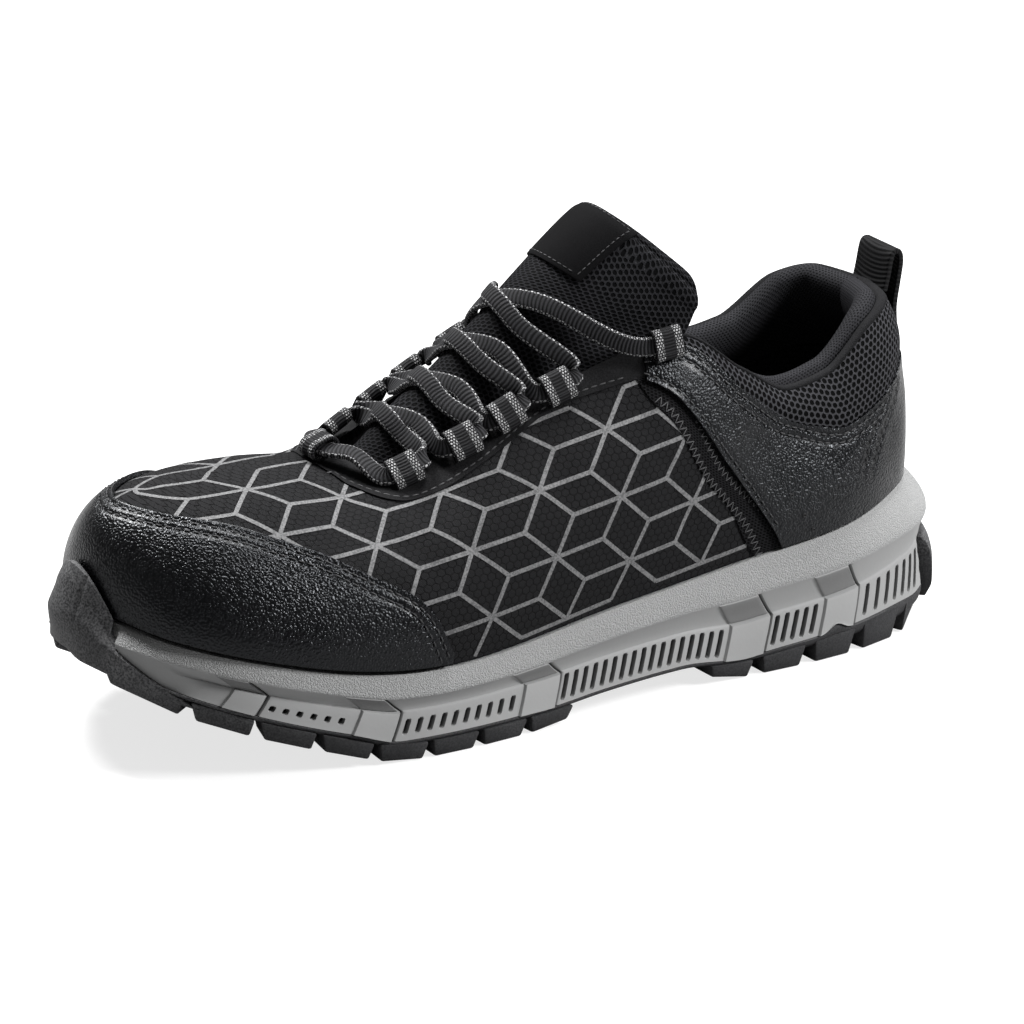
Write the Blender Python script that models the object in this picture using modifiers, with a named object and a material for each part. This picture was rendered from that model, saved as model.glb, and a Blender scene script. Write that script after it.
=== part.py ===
"""Work sneaker for the left foot: cup sole, lasted upper, padded collar and tongue, webbing loops, lace.

Frame: +X to the toe, +Y to the outer side of the foot, +Z up, origin on the floor under the shoe's middle.
The tables are in millimetres, with x measured forward from the back of the heel.
"""
import math
from collections import namedtuple

import bmesh
import bpy
import numpy as np
from mathutils import Vector

# Driving dimensions, in millimetres
MM = 0.001
MIDDLE_X = 155.0
MIDDLE_Y = 1.175
GAP = 0.3
WALL = 2.2
OVERLAY = 1.4
OVERLAY_GAP = 0.55
BASE_THICK = 2.5
RIM_MARGIN = 0.9
RIM_GAP = 0.4
SOLE_JOINT = 0.5
INSOLE_THICK = 4.0
LACE_WIDTH = 7.5
LACE_THICK = 1.8
WEBBING_THICK = 1.0
LOOP_WIDTH = 11.0
LOOP_LENGTH = 11.5
LOOP_DEPTH = 4.6
PULL_WIDTH = 17.0
BLOCK_STEP = 0.9
SLOT_WIDTH = 2.1
GUARD_ROOT = 1.6
LUG_ROOT = 1.9

# The last, one row for each section from heel to toe: plan outline of the sole, height of the feather line
Section = namedtuple("Section", "name x lateral medial feather")
SOLE = (
    Section("heel_back", 0, 0.0, 0.0, 50.0),
    Section("heel_corner", 7, 22.6, -22.8, 49.3),
    Section("heel_side", 24, 35.1, -34.8, 47.1),
    Section("heel_front", 52, 42.3, -40.4, 42.5),
    Section("ankle", 84, 44.0, -39.5, 39.1),
    Section("arch_back", 116, 46.1, -37.6, 35.6),
    Section("arch", 148, 49.6, -39.1, 32.5),
    Section("instep", 180, 53.8, -44.4, 28.9),
    Section("ball", 210, 55.9, -50.4, 27.4),
    Section("ball_front", 240, 53.4, -53.0, 30.2),
    Section("toe_side", 268, 46.1, -49.3, 35.9),
    Section("toe_corner", 290, 32.8, -40.4, 40.2),
    Section("toe_round", 303, 15.5, -25.7, 42.3),
    Section("toe_tip", 308, -6.0, -6.0, 42.8),
)

# The upper over the same sections: its top edge (collar, throat, then the ridge of the vamp), the direction
# in which it arrives there, how it leaves the feather line, and its inset from the sole outline
Profile = namedtuple("Profile", "top_x top_y top_z crown turn rise lean foot_pull top_pull inset")
UPPER = (
    Profile(19, 0.0, 107.0, 0, -90, 72, 0, 24, 20, 9.8),
    Profile(25, 18.5, 107.5, 0, -58, 74, 1, 24, 20, 8.8),
    Profile(38, 27.5, 103.5, 0, -22, 78, 4, 22, 18, 6.5),
    Profile(56, 30.5, 90.5, 0, -4, 80, 8, 17, 13, 4.5),
    Profile(71, 31.5, 88.0, 0, 0, 77, 10, 16, 14, 3.8),
    Profile(90, 32.0, 97.5, 0, 0, 70, 9, 20, 20, 3.5),
    Profile(112, 27.0, 110.0, 0, 0, 58, 8, 28, 26, 3.5),
    Profile(150, 23.0, 99.5, 0, 0, 38, 8, 28, 24, 3.5),
    Profile(182, 20.0, 86.0, 0, 0, 26, 8, 25, 22, 3.5),
    Profile(204, 14.0, 78.0, -1, 0, 14, 8, 23, 24, 3.5),
    Profile(216, 0.0, 78.0, -2, 0, 4, 8, 22, 31, 3.5),
    Profile(234, 0.0, 78.5, -4, 18, 2, 6, 26, 33, 5.0),
    Profile(248, 0.0, 78.0, -5, 52, 3, 4, 29, 35, 8.0),
    Profile(255, 0.0, 78.0, -6, 90, 4, 2, 30, 36, 9.5),
)
LAST = len(SOLE) - 1
RING = 2 * LAST

# Side view of the sole: height of the tread over the floor, depth from there to the midsole, foot bed
Height = namedtuple("Height", "x z")
TREAD = (
    Height(0, 8.0), Height(7, 3.2), Height(20, 0.0), Height(88, 0.0), Height(116, 4.5), Height(146, 3.5),
    Height(174, 0.0), Height(222, 0.0), Height(240, 4.6), Height(268, 12.8), Height(290, 20.2),
    Height(303, 25.6), Height(312, 28.5),
)
OUTSOLE_DEPTH = (
    Height(0, 6.5), Height(88, 6.5), Height(116, 3.6), Height(146, 4.0), Height(176, 6.5), Height(312, 6.5),
)
BED = (
    Height(0, 38.0), Height(24, 35.5), Height(52, 32.5), Height(84, 29.5), Height(116, 27.5),
    Height(148, 25.0), Height(180, 22.3), Height(210, 21.2), Height(240, 24.0), Height(268, 30.0),
    Height(290, 34.8), Height(312, 38.2),
)

# Side of the midsole from its lower edge up: ribbed flare, undercut, then the band that leans in
Step = namedtuple("Step", "level out")
MIDSOLE_SIDE = (
    Step(0.0, 0.2), Step(0.31, -2.2), Step(0.37, -2.6), Step(0.60, -1.0), Step(0.68, -0.7),
    Step(0.86, -0.7), Step(1.0, -0.7),
)
BAND_START = 0.68

# Groups of slots in the flare, and the raised blocks between them, by section number from heel to toe
Slots = namedtuple("Slots", "front back count low high")
SLOT_GROUPS = (
    Slots(9.80, 8.99, 6, 0.12, 0.24),
    Slots(8.33, 7.01, 10, 0.07, 0.29),
    Slots(6.40, 4.46, 17, 0.07, 0.29),
    Slots(3.80, 3.32, 5, 0.07, 0.29),
    Slots(2.66, 1.62, 7, 0.07, 0.29),
)
Block = namedtuple("Block", "front back")
BLOCKS = (
    Block(10.27, 9.90), Block(8.86, 8.44), Block(6.91, 6.48), Block(4.37, 3.90), Block(3.22, 2.78),
)

# Rubber guards at toe and heel from root to top edge: thickness, and how closely they hug the upper
Guard = namedtuple("Guard", "level thick hug")
TOE_GUARD = (
    Guard(0.0, 2.5, 0.0), Guard(0.3, 4.9, 0.0), Guard(0.42, 5.7, 0.0), Guard(0.55, 6.0, 0.35),
    Guard(0.8, 4.8, 0.9), Guard(1.0, 1.6, 1.0),
)
HEEL_GUARD = (
    Guard(0.0, 2.1, 0.0), Guard(0.25, 3.1, 0.0), Guard(0.6, 2.9, 0.0), Guard(0.85, 2.2, 0.0),
    Guard(1.0, 1.0, 0.0),
)
TOE_GUARD_BACK = 3.7
HEEL_GUARD_BACK = 3.1
CAP_CLEAR = 3.0
TOE_GUARD_ROOM = 4.6
HEEL_GUARD_ROOM = 4.0
GUARD_END_ROOM = 0.06
GUARD_STEP = 0.27
GUARD_TAPER = 0.45
TOE_GUARD_SPAN = 1.12
TOE_GUARD_TOP = 60.0
TOE_GUARD_DROP = 14.0
HEEL_GUARD_SPAN = 1.2
HEEL_GUARD_TOP = 38.0
HEEL_GUARD_DROP = 6.0

# Lugs: start and end along the sole, for the rows at both edges and the pairs between them
Lug = namedtuple("Lug", "start end")
LUG_RUNS = (Lug(14, 104), Lug(160, 296))
LUG_PITCH = 18.0
LUG_LENGTH = 13.0
LUG_BAND = 15.0
LUG_SIDE = 2.4

# Overlays on the upper: section number along the edge and share of the way up from feather line to top edge
Edge = namedtuple("Edge", "section up")
CAP_EDGE = (
    Edge(7.85, 0.06), Edge(8.2, 0.24), Edge(8.68, 0.36), Edge(9.5, 0.46), Edge(10.43, 0.54),
    Edge(11.6, 0.63), Edge(13.0, 0.66),
)
QUARTER_FRONT = (
    Edge(3.80, 0.02), Edge(3.95, 0.16), Edge(4.36, 0.38), Edge(5.09, 0.60), Edge(5.76, 0.73),
    Edge(6.25, 0.86),
)
QUARTER_TOP = (
    Edge(0.0, 0.66), Edge(1.0, 0.65), Edge(1.6, 0.61), Edge(2.14, 0.57), Edge(2.73, 0.59), Edge(3.44, 0.70),
    Edge(4.39, 0.82), Edge(5.12, 0.86), Edge(5.71, 0.90), Edge(6.25, 0.95),
)
BACK_SEAM = (
    Edge(1.7, 0.55), Edge(2.0, 0.50), Edge(2.33, 0.42), Edge(2.62, 0.26), Edge(2.74, 0.04),
)
SEAM_SHARE = 0.02
FEATHER_SHARE = 0.02

# Collar roll: share of the way up the wall, depth in from the wall, rise over the collar edge
Roll = namedtuple("Roll", "up depth rise")
COLLAR = (
    Roll(0.56, 0.0, 0.0), Roll(0.76, 0.0, 0.0), Roll(0.92, 0.0, 0.0), Roll(1.0, 0.0, 0.6),
    Roll(1.0, 0.8, 3.2), Roll(1.0, 3.6, 4.2), Roll(1.0, 6.6, 2.6), Roll(0.96, 8.0, 0.0),
    Roll(0.84, 7.6, 0.0), Roll(0.70, 4.8, 0.0), Roll(0.56, 1.4, 0.0),
)
COLLAR_GAP = 0.55
COLLAR_END = 5.55
COLLAR_THIN = 0.42

# Tongue from its root under the vamp to its top edge: ridge line, half width, arch and padding
Tongue = namedtuple("Tongue", "x z half_width arch pad")
TONGUE = (
    Tongue(227, 70.0, 14.0, 5.0, 3.5),
    Tongue(216, 73.4, 15.5, 9.0, 4.0),
    Tongue(207, 79.0, 17.5, 14.5, 5.0),
    Tongue(195, 90.0, 20.5, 19.0, 6.0),
    Tongue(180, 101.0, 22.5, 22.0, 6.5),
    Tongue(165, 110.5, 23.0, 23.5, 7.0),
    Tongue(152, 119.0, 23.0, 24.5, 7.0),
    Tongue(140, 129.5, 23.2, 26.0, 7.0),
    Tongue(130, 140.0, 24.2, 28.0, 7.0),
    Tongue(123.5, 147.0, 25.5, 29.5, 6.0),
)
TONGUE_END = len(TONGUE) - 1
TONGUE_EDGE = 1.2
LABEL_START = 7.4
LABEL_END = 8.8
LABEL_SIDE = 0.62
LABEL_THICK = 0.7
LABEL_GAP = 0.45

# Lace loops by section number on the throat edge, and the lace rows between them by place along the tongue
Eyelet = namedtuple("Eyelet", "section row over")
LATERAL_LOOPS = (
    Eyelet(8.93, 2.45, 0.0), Eyelet(8.08, 3.35, 0.0), Eyelet(7.55, 4.25, 0.0), Eyelet(7.06, 5.2, 0.0),
    Eyelet(6.16, 6.95, OVERLAY_GAP + OVERLAY),
)
MEDIAL_LOOPS = (
    Eyelet(9.0, 2.4, 0.0), Eyelet(8.2, 3.2, 0.0), Eyelet(7.68, 4.05, 0.0), Eyelet(7.18, 4.95, 0.0),
    Eyelet(6.66, 6.2, 0.0),
)
LOOP_SEAT = 0.93
LOOP_GAP = 0.45
LOOP_TILT = 27.0
LACE_REACH = 0.56
LACE_LIFT = 0.8
LACE_SPREAD = 0.25
FRONT_LOOP_TILT = 20.0
FRONT_LOOP_WIDTH = 8.0
FRONT_LOOP_DEPTH = 6.2
FRONT_LOOP_SEAT = 4.0
BAR_RADIUS = 14.0
BAR_WIDTH = 6.0
BAR_SWEEP = 50.0

# Pull loop at the heel: its outer leg lies on the heel, then it arches over the collar
Leg = namedtuple("Leg", "up over")
PULL_LEG = (Leg(0.57, 4.4), Leg(0.66, 4.4), Leg(0.74, 3.0), Leg(0.86, 2.6), Leg(0.97, 2.6))
Turn = namedtuple("Turn", "x z")
PULL_ARCH = (Turn(14.6, 116.0), Turn(16.2, 121.5), Turn(19.6, 124.2), Turn(23.0, 121.8), Turn(23.8, 117.0),
             Turn(23.8, 113.4))
PULL_THICK = 1.8

PARTS = "work_sneaker"
CUTTERS = "work_sneaker_cutters"

# Colour, roughness and metallic value of each finish
Finish = namedtuple("Finish", "colour roughness metallic")
FINISHES = {
    "rubber": Finish((0.022, 0.022, 0.024), 0.62, 0.0),
    "foam": Finish((0.46, 0.47, 0.48), 0.66, 0.0),
    "fabric": Finish((0.016, 0.016, 0.018), 0.85, 0.0),
    "leather": Finish((0.030, 0.031, 0.034), 0.48, 0.0),
    "lining": Finish((0.020, 0.021, 0.024), 0.9, 0.0),
    "mesh": Finish((0.012, 0.012, 0.013), 0.88, 0.0),
    "label": Finish((0.010, 0.010, 0.011), 0.8, 0.0),
    "webbing": Finish((0.030, 0.030, 0.031), 0.82, 0.0),
    "lace": Finish((0.040, 0.040, 0.042), 0.8, 0.0),
}


def ring_of(lateral, medial):
    """Values around the shoe: outer side from heel to toe, then the inner side back to the heel."""
    outer = np.asarray(lateral, dtype=float)
    inner = np.asarray(medial, dtype=float)
    return np.concatenate([outer, inner[-2:0:-1]])


def smooth_ring(values):
    """Closed cubic spline through evenly numbered values; returns value and slope functions."""
    count = len(values)
    unit = np.eye(count)
    system = 4.0 * unit + np.roll(unit, 1, axis=1) + np.roll(unit, -1, axis=1)
    second = np.roll(values, -1) - 2.0 * values + np.roll(values, 1)
    bend = np.linalg.solve(system, 6.0 * second)

    def split(r):
        base = np.floor(r).astype(int)
        share = r - base
        here = base % count
        return share, here, (here + 1) % count

    def value(r):
        t, a, b = split(np.asarray(r, dtype=float))
        near = (1.0 - t) * values[a] + ((1.0 - t) ** 3 - (1.0 - t)) * bend[a] / 6.0
        return near + t * values[b] + (t ** 3 - t) * bend[b] / 6.0

    def slope(r):
        t, a, b = split(np.asarray(r, dtype=float))
        swing = (3.0 * t ** 2 - 1.0) * bend[b] - (3.0 * (1.0 - t) ** 2 - 1.0) * bend[a]
        return values[b] - values[a] + swing / 6.0

    return value, slope


def steady_ring(values):
    """Closed curve through evenly numbered values that never overshoots them."""
    count = len(values)
    ahead = np.roll(values, -1) - values
    behind = np.roll(ahead, 1)
    total = np.where(ahead + behind == 0.0, 1.0, ahead + behind)
    slope = np.where(ahead * behind > 0.0, 2.0 * ahead * behind / total, 0.0)

    def value(r):
        r = np.asarray(r, dtype=float)
        base = np.floor(r).astype(int)
        t = r - base
        a = base % count
        b = (a + 1) % count
        near = values[a] * (1.0 + 2.0 * t) * (1.0 - t) ** 2 + slope[a] * t * (1.0 - t) ** 2
        return near + values[b] * t * t * (3.0 - 2.0 * t) + slope[b] * t * t * (t - 1.0)

    return value


def steady_line(places, values):
    """Open curve through values at given places that never overshoots them."""
    x = np.asarray(places, dtype=float)
    y = np.asarray(values, dtype=float)
    width = np.diff(x)
    rate = np.diff(y) / width
    slope = np.zeros(len(x))
    slope[0] = rate[0]
    slope[-1] = rate[-1]
    for k in range(1, len(x) - 1):
        if rate[k - 1] * rate[k] > 0.0:
            ahead = 2.0 * width[k] + width[k - 1]
            behind = width[k] + 2.0 * width[k - 1]
            slope[k] = (ahead + behind) / (ahead / rate[k - 1] + behind / rate[k])

    def value(at):
        at = np.clip(np.asarray(at, dtype=float), x[0], x[-1])
        k = np.clip(np.searchsorted(x, at, side="right") - 1, 0, len(x) - 2)
        h = width[k]
        t = (at - x[k]) / h
        near = y[k] * (1.0 + 2.0 * t) * (1.0 - t) ** 2 + slope[k] * h * t * (1.0 - t) ** 2
        return near + y[k + 1] * t * t * (3.0 - 2.0 * t) + slope[k + 1] * h * t * t * (t - 1.0)

    return value


def table_curve(rows, along, value):
    """Steady curve through two named columns of a table."""
    return steady_line([getattr(row, along) for row in rows], [getattr(row, value) for row in rows])


def both_sides(rows, name):
    """The same column on both sides of the shoe."""
    column = [getattr(row, name) for row in rows]
    return ring_of(column, column)


sole_x, sole_x_slope = smooth_ring(both_sides(SOLE, "x"))
sole_y, sole_y_slope = smooth_ring(ring_of([row.lateral for row in SOLE], [row.medial for row in SOLE]))
feather_z, feather_slope = smooth_ring(both_sides(SOLE, "feather"))
top_x = steady_ring(both_sides(UPPER, "top_x"))
top_y = steady_ring(both_sides(UPPER, "top_y"))
crown_y = steady_ring(both_sides(UPPER, "crown"))
top_z = steady_ring(both_sides(UPPER, "top_z"))
turn_in = steady_ring(both_sides(UPPER, "turn"))
rise_in = steady_ring(both_sides(UPPER, "rise"))
lean_out = steady_ring(both_sides(UPPER, "lean"))
foot_pull = steady_ring(both_sides(UPPER, "foot_pull"))
top_pull = steady_ring(both_sides(UPPER, "top_pull"))
foot_inset = steady_ring(both_sides(UPPER, "inset"))
tread_z = table_curve(TREAD, "x", "z")
outsole_depth = table_curve(OUTSOLE_DEPTH, "x", "z")
bed_z = table_curve(BED, "x", "z")


def outline(r, out):
    """Point of the sole's plan outline moved outward by the given amount."""
    run_x = sole_x_slope(r)
    run_y = sole_y_slope(r)
    length = math.hypot(run_x, run_y)
    return float(sole_x(r) - out * run_y / length), float(sole_y(r) + out * run_x / length)


def outward(r):
    """Plan direction out of the shoe."""
    run_x = sole_x_slope(r)
    run_y = sole_y_slope(r)
    length = math.hypot(run_x, run_y)
    return Vector((-run_y / length, run_x / length, 0.0))


def inward_at_top(r):
    """Direction in which the upper arrives at its top edge."""
    side = 1.0 if r % RING <= LAST else -1.0
    turn = math.radians(turn_in(r))
    rise = math.radians(rise_in(r))
    flat = math.cos(rise)
    return Vector((-math.sin(turn) * flat, -side * math.cos(turn) * flat, math.sin(rise)))


def top_edge(r):
    """Point of the collar, throat or vamp ridge."""
    side = 1.0 if r % RING <= LAST else -1.0
    return Vector((float(top_x(r)), float(crown_y(r) + side * top_y(r)), float(top_z(r))))


def foot_edge(r):
    """Point of the feather line, where the upper meets the sole."""
    x, y = outline(r, -float(foot_inset(r)))
    return Vector((x, y, float(feather_z(r))))


def upper_point(r, v):
    """Outer face of the upper: v runs from the feather line to the top edge."""
    start = foot_edge(r)
    end = top_edge(r)
    lean = math.radians(lean_out(r))
    leave = outward(r) * math.sin(lean) + Vector((0.0, 0.0, math.cos(lean)))
    low = start + leave * float(foot_pull(r))
    high = end - inward_at_top(r) * float(top_pull(r))
    w = 1.0 - v
    return start * w ** 3 + low * (3.0 * w * w * v) + high * (3.0 * w * v * v) + end * v ** 3


def upper_normal(r, v):
    """Direction out of the outer face of the upper."""
    step = 0.02
    low = min(max(v, step), 1.0 - step)
    along = upper_point(r + step, low) - upper_point(r - step, low)
    up = upper_point(r, low + step) - upper_point(r, low - step)
    return up.cross(along).normalized()


def over_upper(r, v, out):
    """Point at a height over the outer face of the upper."""
    return upper_point(r, v) + upper_normal(r, v) * out


def ease(value, start, end):
    """Smooth step from 0 at start to 1 at end."""
    t = min(max((value - start) / (end - start), 0.0), 1.0)
    return t * t * (3.0 - 2.0 * t)


def from_heel(r):
    """Section number counted from the heel on either side."""
    return min(r % RING, RING - r % RING)


def under_guard(r):
    """How far the midsole draws in behind the toe and heel guards."""
    toe = 1.0 - ease(LAST - from_heel(r), TOE_GUARD_SPAN + GUARD_END_ROOM, TOE_GUARD_SPAN + GUARD_STEP)
    heel = 1.0 - ease(from_heel(r), HEEL_GUARD_SPAN + GUARD_END_ROOM, HEEL_GUARD_SPAN + GUARD_STEP)
    return TOE_GUARD_ROOM * toe + HEEL_GUARD_ROOM * heel


def on_block(r):
    """True on one of the raised blocks of the flare."""
    section = from_heel(r)
    return any(block.back <= section <= block.front for block in BLOCKS)


def outsole_top(x):
    """Height of the joint between outsole and midsole."""
    return float(tread_z(x) + outsole_depth(x))


side_out = table_curve(MIDSOLE_SIDE, "level", "out")


def midsole_out(r, level):
    """Side of the midsole, measured out from the sole outline."""
    out = float(side_out(level)) - under_guard(r)
    if on_block(r) and level < BAND_START - 0.05:
        out += BLOCK_STEP
    if level > BAND_START:
        share = ((level - BAND_START) / (1.0 - BAND_START)) ** 1.5
        out += share * (RIM_MARGIN - float(foot_inset(r)) - out)
    return out


def midsole_side(r, level):
    """Point on the side of the midsole."""
    edge = outline(r, midsole_out(r, level))
    low = outsole_top(edge[0]) + SOLE_JOINT
    high = float(feather_z(r)) - RIM_GAP
    return Vector((edge[0], edge[1], low + level * (high - low)))


def spine(point, r):
    """Middle between a point and its partner on the other side of the shoe."""
    return (point(r) + point(RING - r)) * 0.5


def tongue_curve(name):
    """One column of the tongue table along its length."""
    return steady_line(range(len(TONGUE)), [getattr(row, name) for row in TONGUE])


tongue_x = tongue_curve("x")
tongue_z = tongue_curve("z")
tongue_half = tongue_curve("half_width")
tongue_arch = tongue_curve("arch")
tongue_pad = tongue_curve("pad")


def tongue_frame(u):
    """Ridge point of the tongue and the direction out of its face."""
    step = 0.05
    low = max(u - step, 0.0)
    high = min(u + step, float(TONGUE_END))
    run = Vector((float(tongue_x(high) - tongue_x(low)), 0.0, float(tongue_z(high) - tongue_z(low))))
    run.normalize()
    return Vector((float(tongue_x(u)), 0.0, float(tongue_z(u)))), Vector((run.z, 0.0, -run.x))


def tongue_point(u, s):
    """Face of the tongue: u from root to top edge, s across from -1 to 1."""
    ridge, out = tongue_frame(u)
    point = ridge - out * (float(tongue_arch(u)) * s * s)
    point.y = float(tongue_half(u)) * s + tongue_crown(u)
    return point


def tongue_crown(u):
    """The root of the tongue follows the vamp ridge towards the inner side."""
    return -2.0 * (1.0 - ease(u, 1.0, 3.0))


def tongue_normal(u, s):
    """Direction out of the face of the tongue."""
    step = 0.04
    low = min(max(u, step), TONGUE_END - step)
    along = tongue_point(low + step, s) - tongue_point(low - step, s)
    across = tongue_point(low, s + step) - tongue_point(low, s - step)
    return across.cross(along).normalized()


def over_tongue(u, s, out):
    """Point at a height over the face of the tongue."""
    return tongue_point(u, s) + tongue_normal(u, s) * out


def to_frame(point):
    """Move a table point into the shoe's frame, in metres."""
    return Vector((point.x - MIDDLE_X, point.y - MIDDLE_Y, point.z)) * MM


def span(start, end, count):
    """Evenly spaced values from start to end."""
    return [float(value) for value in np.linspace(start, end, count + 1)]


def new_object(name, bm, collection, finish=None):
    """Turn a finished bmesh into a named object with its own material."""
    bmesh.ops.recalc_face_normals(bm, faces=bm.faces)
    mesh = bpy.data.meshes.new(name)
    bm.to_mesh(mesh)
    bm.free()
    mesh.shade_smooth()
    mesh.set_sharp_from_angle(angle=math.radians(32.0))
    item = bpy.data.objects.new(name, mesh)
    collection.objects.link(item)
    if finish:
        look = FINISHES[finish]
        material = bpy.data.materials.new(name)
        material.use_nodes = True
        shader = material.node_tree.nodes["Principled BSDF"]
        shader.inputs["Base Color"].default_value = (*look.colour, 1.0)
        shader.inputs["Roughness"].default_value = look.roughness
        shader.inputs["Metallic"].default_value = look.metallic
        mesh.materials.append(material)
    return item


def mapped_grid(point, columns, rows, fill_ends=False):
    """Grid laid over a surface function, with coinciding edges welded."""
    bm = bmesh.new()
    bmesh.ops.create_grid(bm, x_segments=len(columns) - 1, y_segments=len(rows) - 1, size=0.5)
    for vert in bm.verts:
        column = columns[round((vert.co.x + 0.5) * (len(columns) - 1))]
        row = rows[round((vert.co.y + 0.5) * (len(rows) - 1))]
        vert.co = to_frame(point(column, row))
    bmesh.ops.remove_doubles(bm, verts=bm.verts, dist=1e-5)
    if fill_ends:
        bmesh.ops.holes_fill(bm, edges=[edge for edge in bm.edges if edge.is_boundary])
    return bm


def thick_sheet(name, point, columns, rows, thickness, finish, collection):
    """Sheet over a surface function, thickened towards the side that its normals leave."""
    item = new_object(name, mapped_grid(point, columns, rows), collection, finish)
    solid = item.modifiers.new("thickness", "SOLIDIFY")
    solid.thickness = thickness * MM
    solid.offset = -1.0
    return item


def box_from(bm, corners):
    """Closed block between eight corners, lower four then upper four."""
    made = bmesh.ops.create_cube(bm, size=1.0)["verts"]
    for vert in made:
        upper = 4 if vert.co.z > 0 else 0
        turn = {(-1, -1): 0, (1, -1): 1, (1, 1): 2, (-1, 1): 3}
        key = (1 if vert.co.x > 0 else -1, 1 if vert.co.y > 0 else -1)
        vert.co = to_frame(corners[upper + turn[key]])


def join_with(item, cutter, operation, solver="EXACT"):
    """Cut or join an object with a hidden helper."""
    cutter.hide_render = True
    cutter.display_type = "WIRE"
    step = item.modifiers.new(operation.lower(), "BOOLEAN")
    step.operation = operation
    step.solver = solver
    step.object = cutter


def ring_columns(step):
    """Section numbers once around the shoe."""
    return span(0.0, RING, round(RING / step))


def sole_columns(extra=()):
    """Section numbers around the sole, closer over its rounded back edge."""
    side = span(0.0, 2.0, 8) + span(2.5, LAST, 21)
    return sorted(set(side) | {RING - r for r in side} | set(extra))


def block_edges():
    """Section numbers on both faces of each block step."""
    marks = []
    for block in BLOCKS:
        for edge in (block.front, block.back):
            for side in (edge, RING - edge):
                marks += [side - 0.02, side + 0.02]
    return marks


def guard_edges():
    """Section numbers where the midsole starts and ends its step in behind a guard."""
    marks = []
    for middle, half_span in ((LAST, TOE_GUARD_SPAN), (0.0, HEEL_GUARD_SPAN)):
        for reach in (half_span + GUARD_END_ROOM, half_span + GUARD_STEP):
            marks += [(middle - reach) % RING, (middle + reach) % RING]
    return marks


def make_outsole(parts, cutters):
    """Rubber outsole: base plate, toe and heel guards, lugs."""
    def section(r, row):
        low = Vector((*outline(r, -3.0), 0.0))
        low.z = outsole_top(low.x) - BASE_THICK
        side = Vector((*outline(r, -1.6), 0.0))
        side.z = outsole_top(side.x)
        wall = Vector((side.x, side.y, outsole_top(side.x) - 1.5))
        return (low, wall, side)[row]

    def point(r, row):
        if row == 0:
            return spine(lambda q: section(q, 0), r)
        if row == 4:
            return spine(lambda q: section(q, 2), r)
        return section(r, row - 1)

    base = new_object("outsole", mapped_grid(point, sole_columns(), range(5)), parts, "rubber")
    shape = guard_wall(TOE_GUARD, TOE_GUARD_BACK, LAST, TOE_GUARD_SPAN, TOE_GUARD_TOP, TOE_GUARD_DROP)
    join_with(base, new_object("toe_guard", shape, cutters), "UNION")
    shape = guard_wall(HEEL_GUARD, HEEL_GUARD_BACK, 0, HEEL_GUARD_SPAN, HEEL_GUARD_TOP, HEEL_GUARD_DROP)
    join_with(base, new_object("heel_guard", shape, cutters), "UNION")
    join_with(base, new_object("lugs", lug_blocks(), cutters), "UNION", "MANIFOLD")
    return base


def guard_wall(rows, back, middle, half_span, top, drop):
    """Rubber guard standing on the outsole, as a closed loop of wall carried along the outline."""
    thick = table_curve(rows, "level", "thick")
    hug = table_curve(rows, "level", "hug")
    levels = [row.level for row in rows]
    loop = [(level, 1.0) for level in levels] + [(level, 0.0) for level in reversed(levels)]
    loop.append(loop[0])

    def point(r, k):
        level, face = loop[k]
        aside = ((r - middle) / half_span) ** 2
        close = float(hug(level))
        inner = -back * (1.0 - close) - (float(foot_inset(r)) - CAP_CLEAR) * close
        x, y = outline(r, inner + face * float(thick(level)) * (1.0 - GUARD_TAPER * aside))
        low = outsole_top(outline(r, -2.0)[0]) - GUARD_ROOT
        return Vector((x, y, low + level * (top - drop * aside - low)))

    columns = span(middle - half_span, middle + half_span, 10)
    return mapped_grid(point, columns, range(len(loop)), fill_ends=True)


def section_at(x):
    """Section number on the outer side at a distance from the heel."""
    places = np.linspace(0.0, LAST, 521)
    return float(np.interp(x, sole_x(places), places))


def lug_blocks():
    """Lugs along both edges, and staggered pairs between them."""
    bm = bmesh.new()
    for run in LUG_RUNS:
        count = round((run.end - run.start - LUG_LENGTH) / LUG_PITCH) + 1
        pitch = (run.end - run.start - LUG_LENGTH) / (count - 1)
        for k in range(count):
            start = run.start + k * pitch
            back = section_at(start)
            front = section_at(start + LUG_LENGTH)
            for one, two in ((back, front), (RING - front, RING - back)):
                edge_lug(bm, one, two)
            if k < count - 1:
                centre_lugs(bm, start + 0.5 * LUG_PITCH, start + 0.5 * LUG_PITCH + LUG_LENGTH)
    return bm


def lug_corner(x, y, top):
    """Lower or upper corner of a lug."""
    z = outsole_top(x) - LUG_ROOT if top else float(tread_z(x))
    return Vector((x, y, z))


def edge_lug(bm, start, end):
    """One lug between two section numbers at the edge of the sole."""
    plan = []
    for r, out in ((start, -LUG_SIDE), (end, -LUG_SIDE), (end, -LUG_BAND), (start, -LUG_BAND)):
        plan.append(outline(r, out))
    box_from(bm, [lug_corner(x, y, False) for x, y in plan] + [lug_corner(x, y, True) for x, y in plan])


def centre_lugs(bm, start, end):
    """A pair of lugs in the middle of the sole."""
    r = section_at(0.5 * (start + end))
    outer = outline(r, -LUG_BAND - 4.0)[1]
    inner = outline(RING - r, -LUG_BAND - 4.0)[1]
    middle = 0.5 * (outer + inner)
    for low, high in ((inner, middle - 2.2), (middle + 2.2, outer)):
        plan = ((start, low), (end, low), (end, high), (start, high))
        box_from(bm, [lug_corner(x, y, False) for x, y in plan] + [lug_corner(x, y, True) for x, y in plan])


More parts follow.
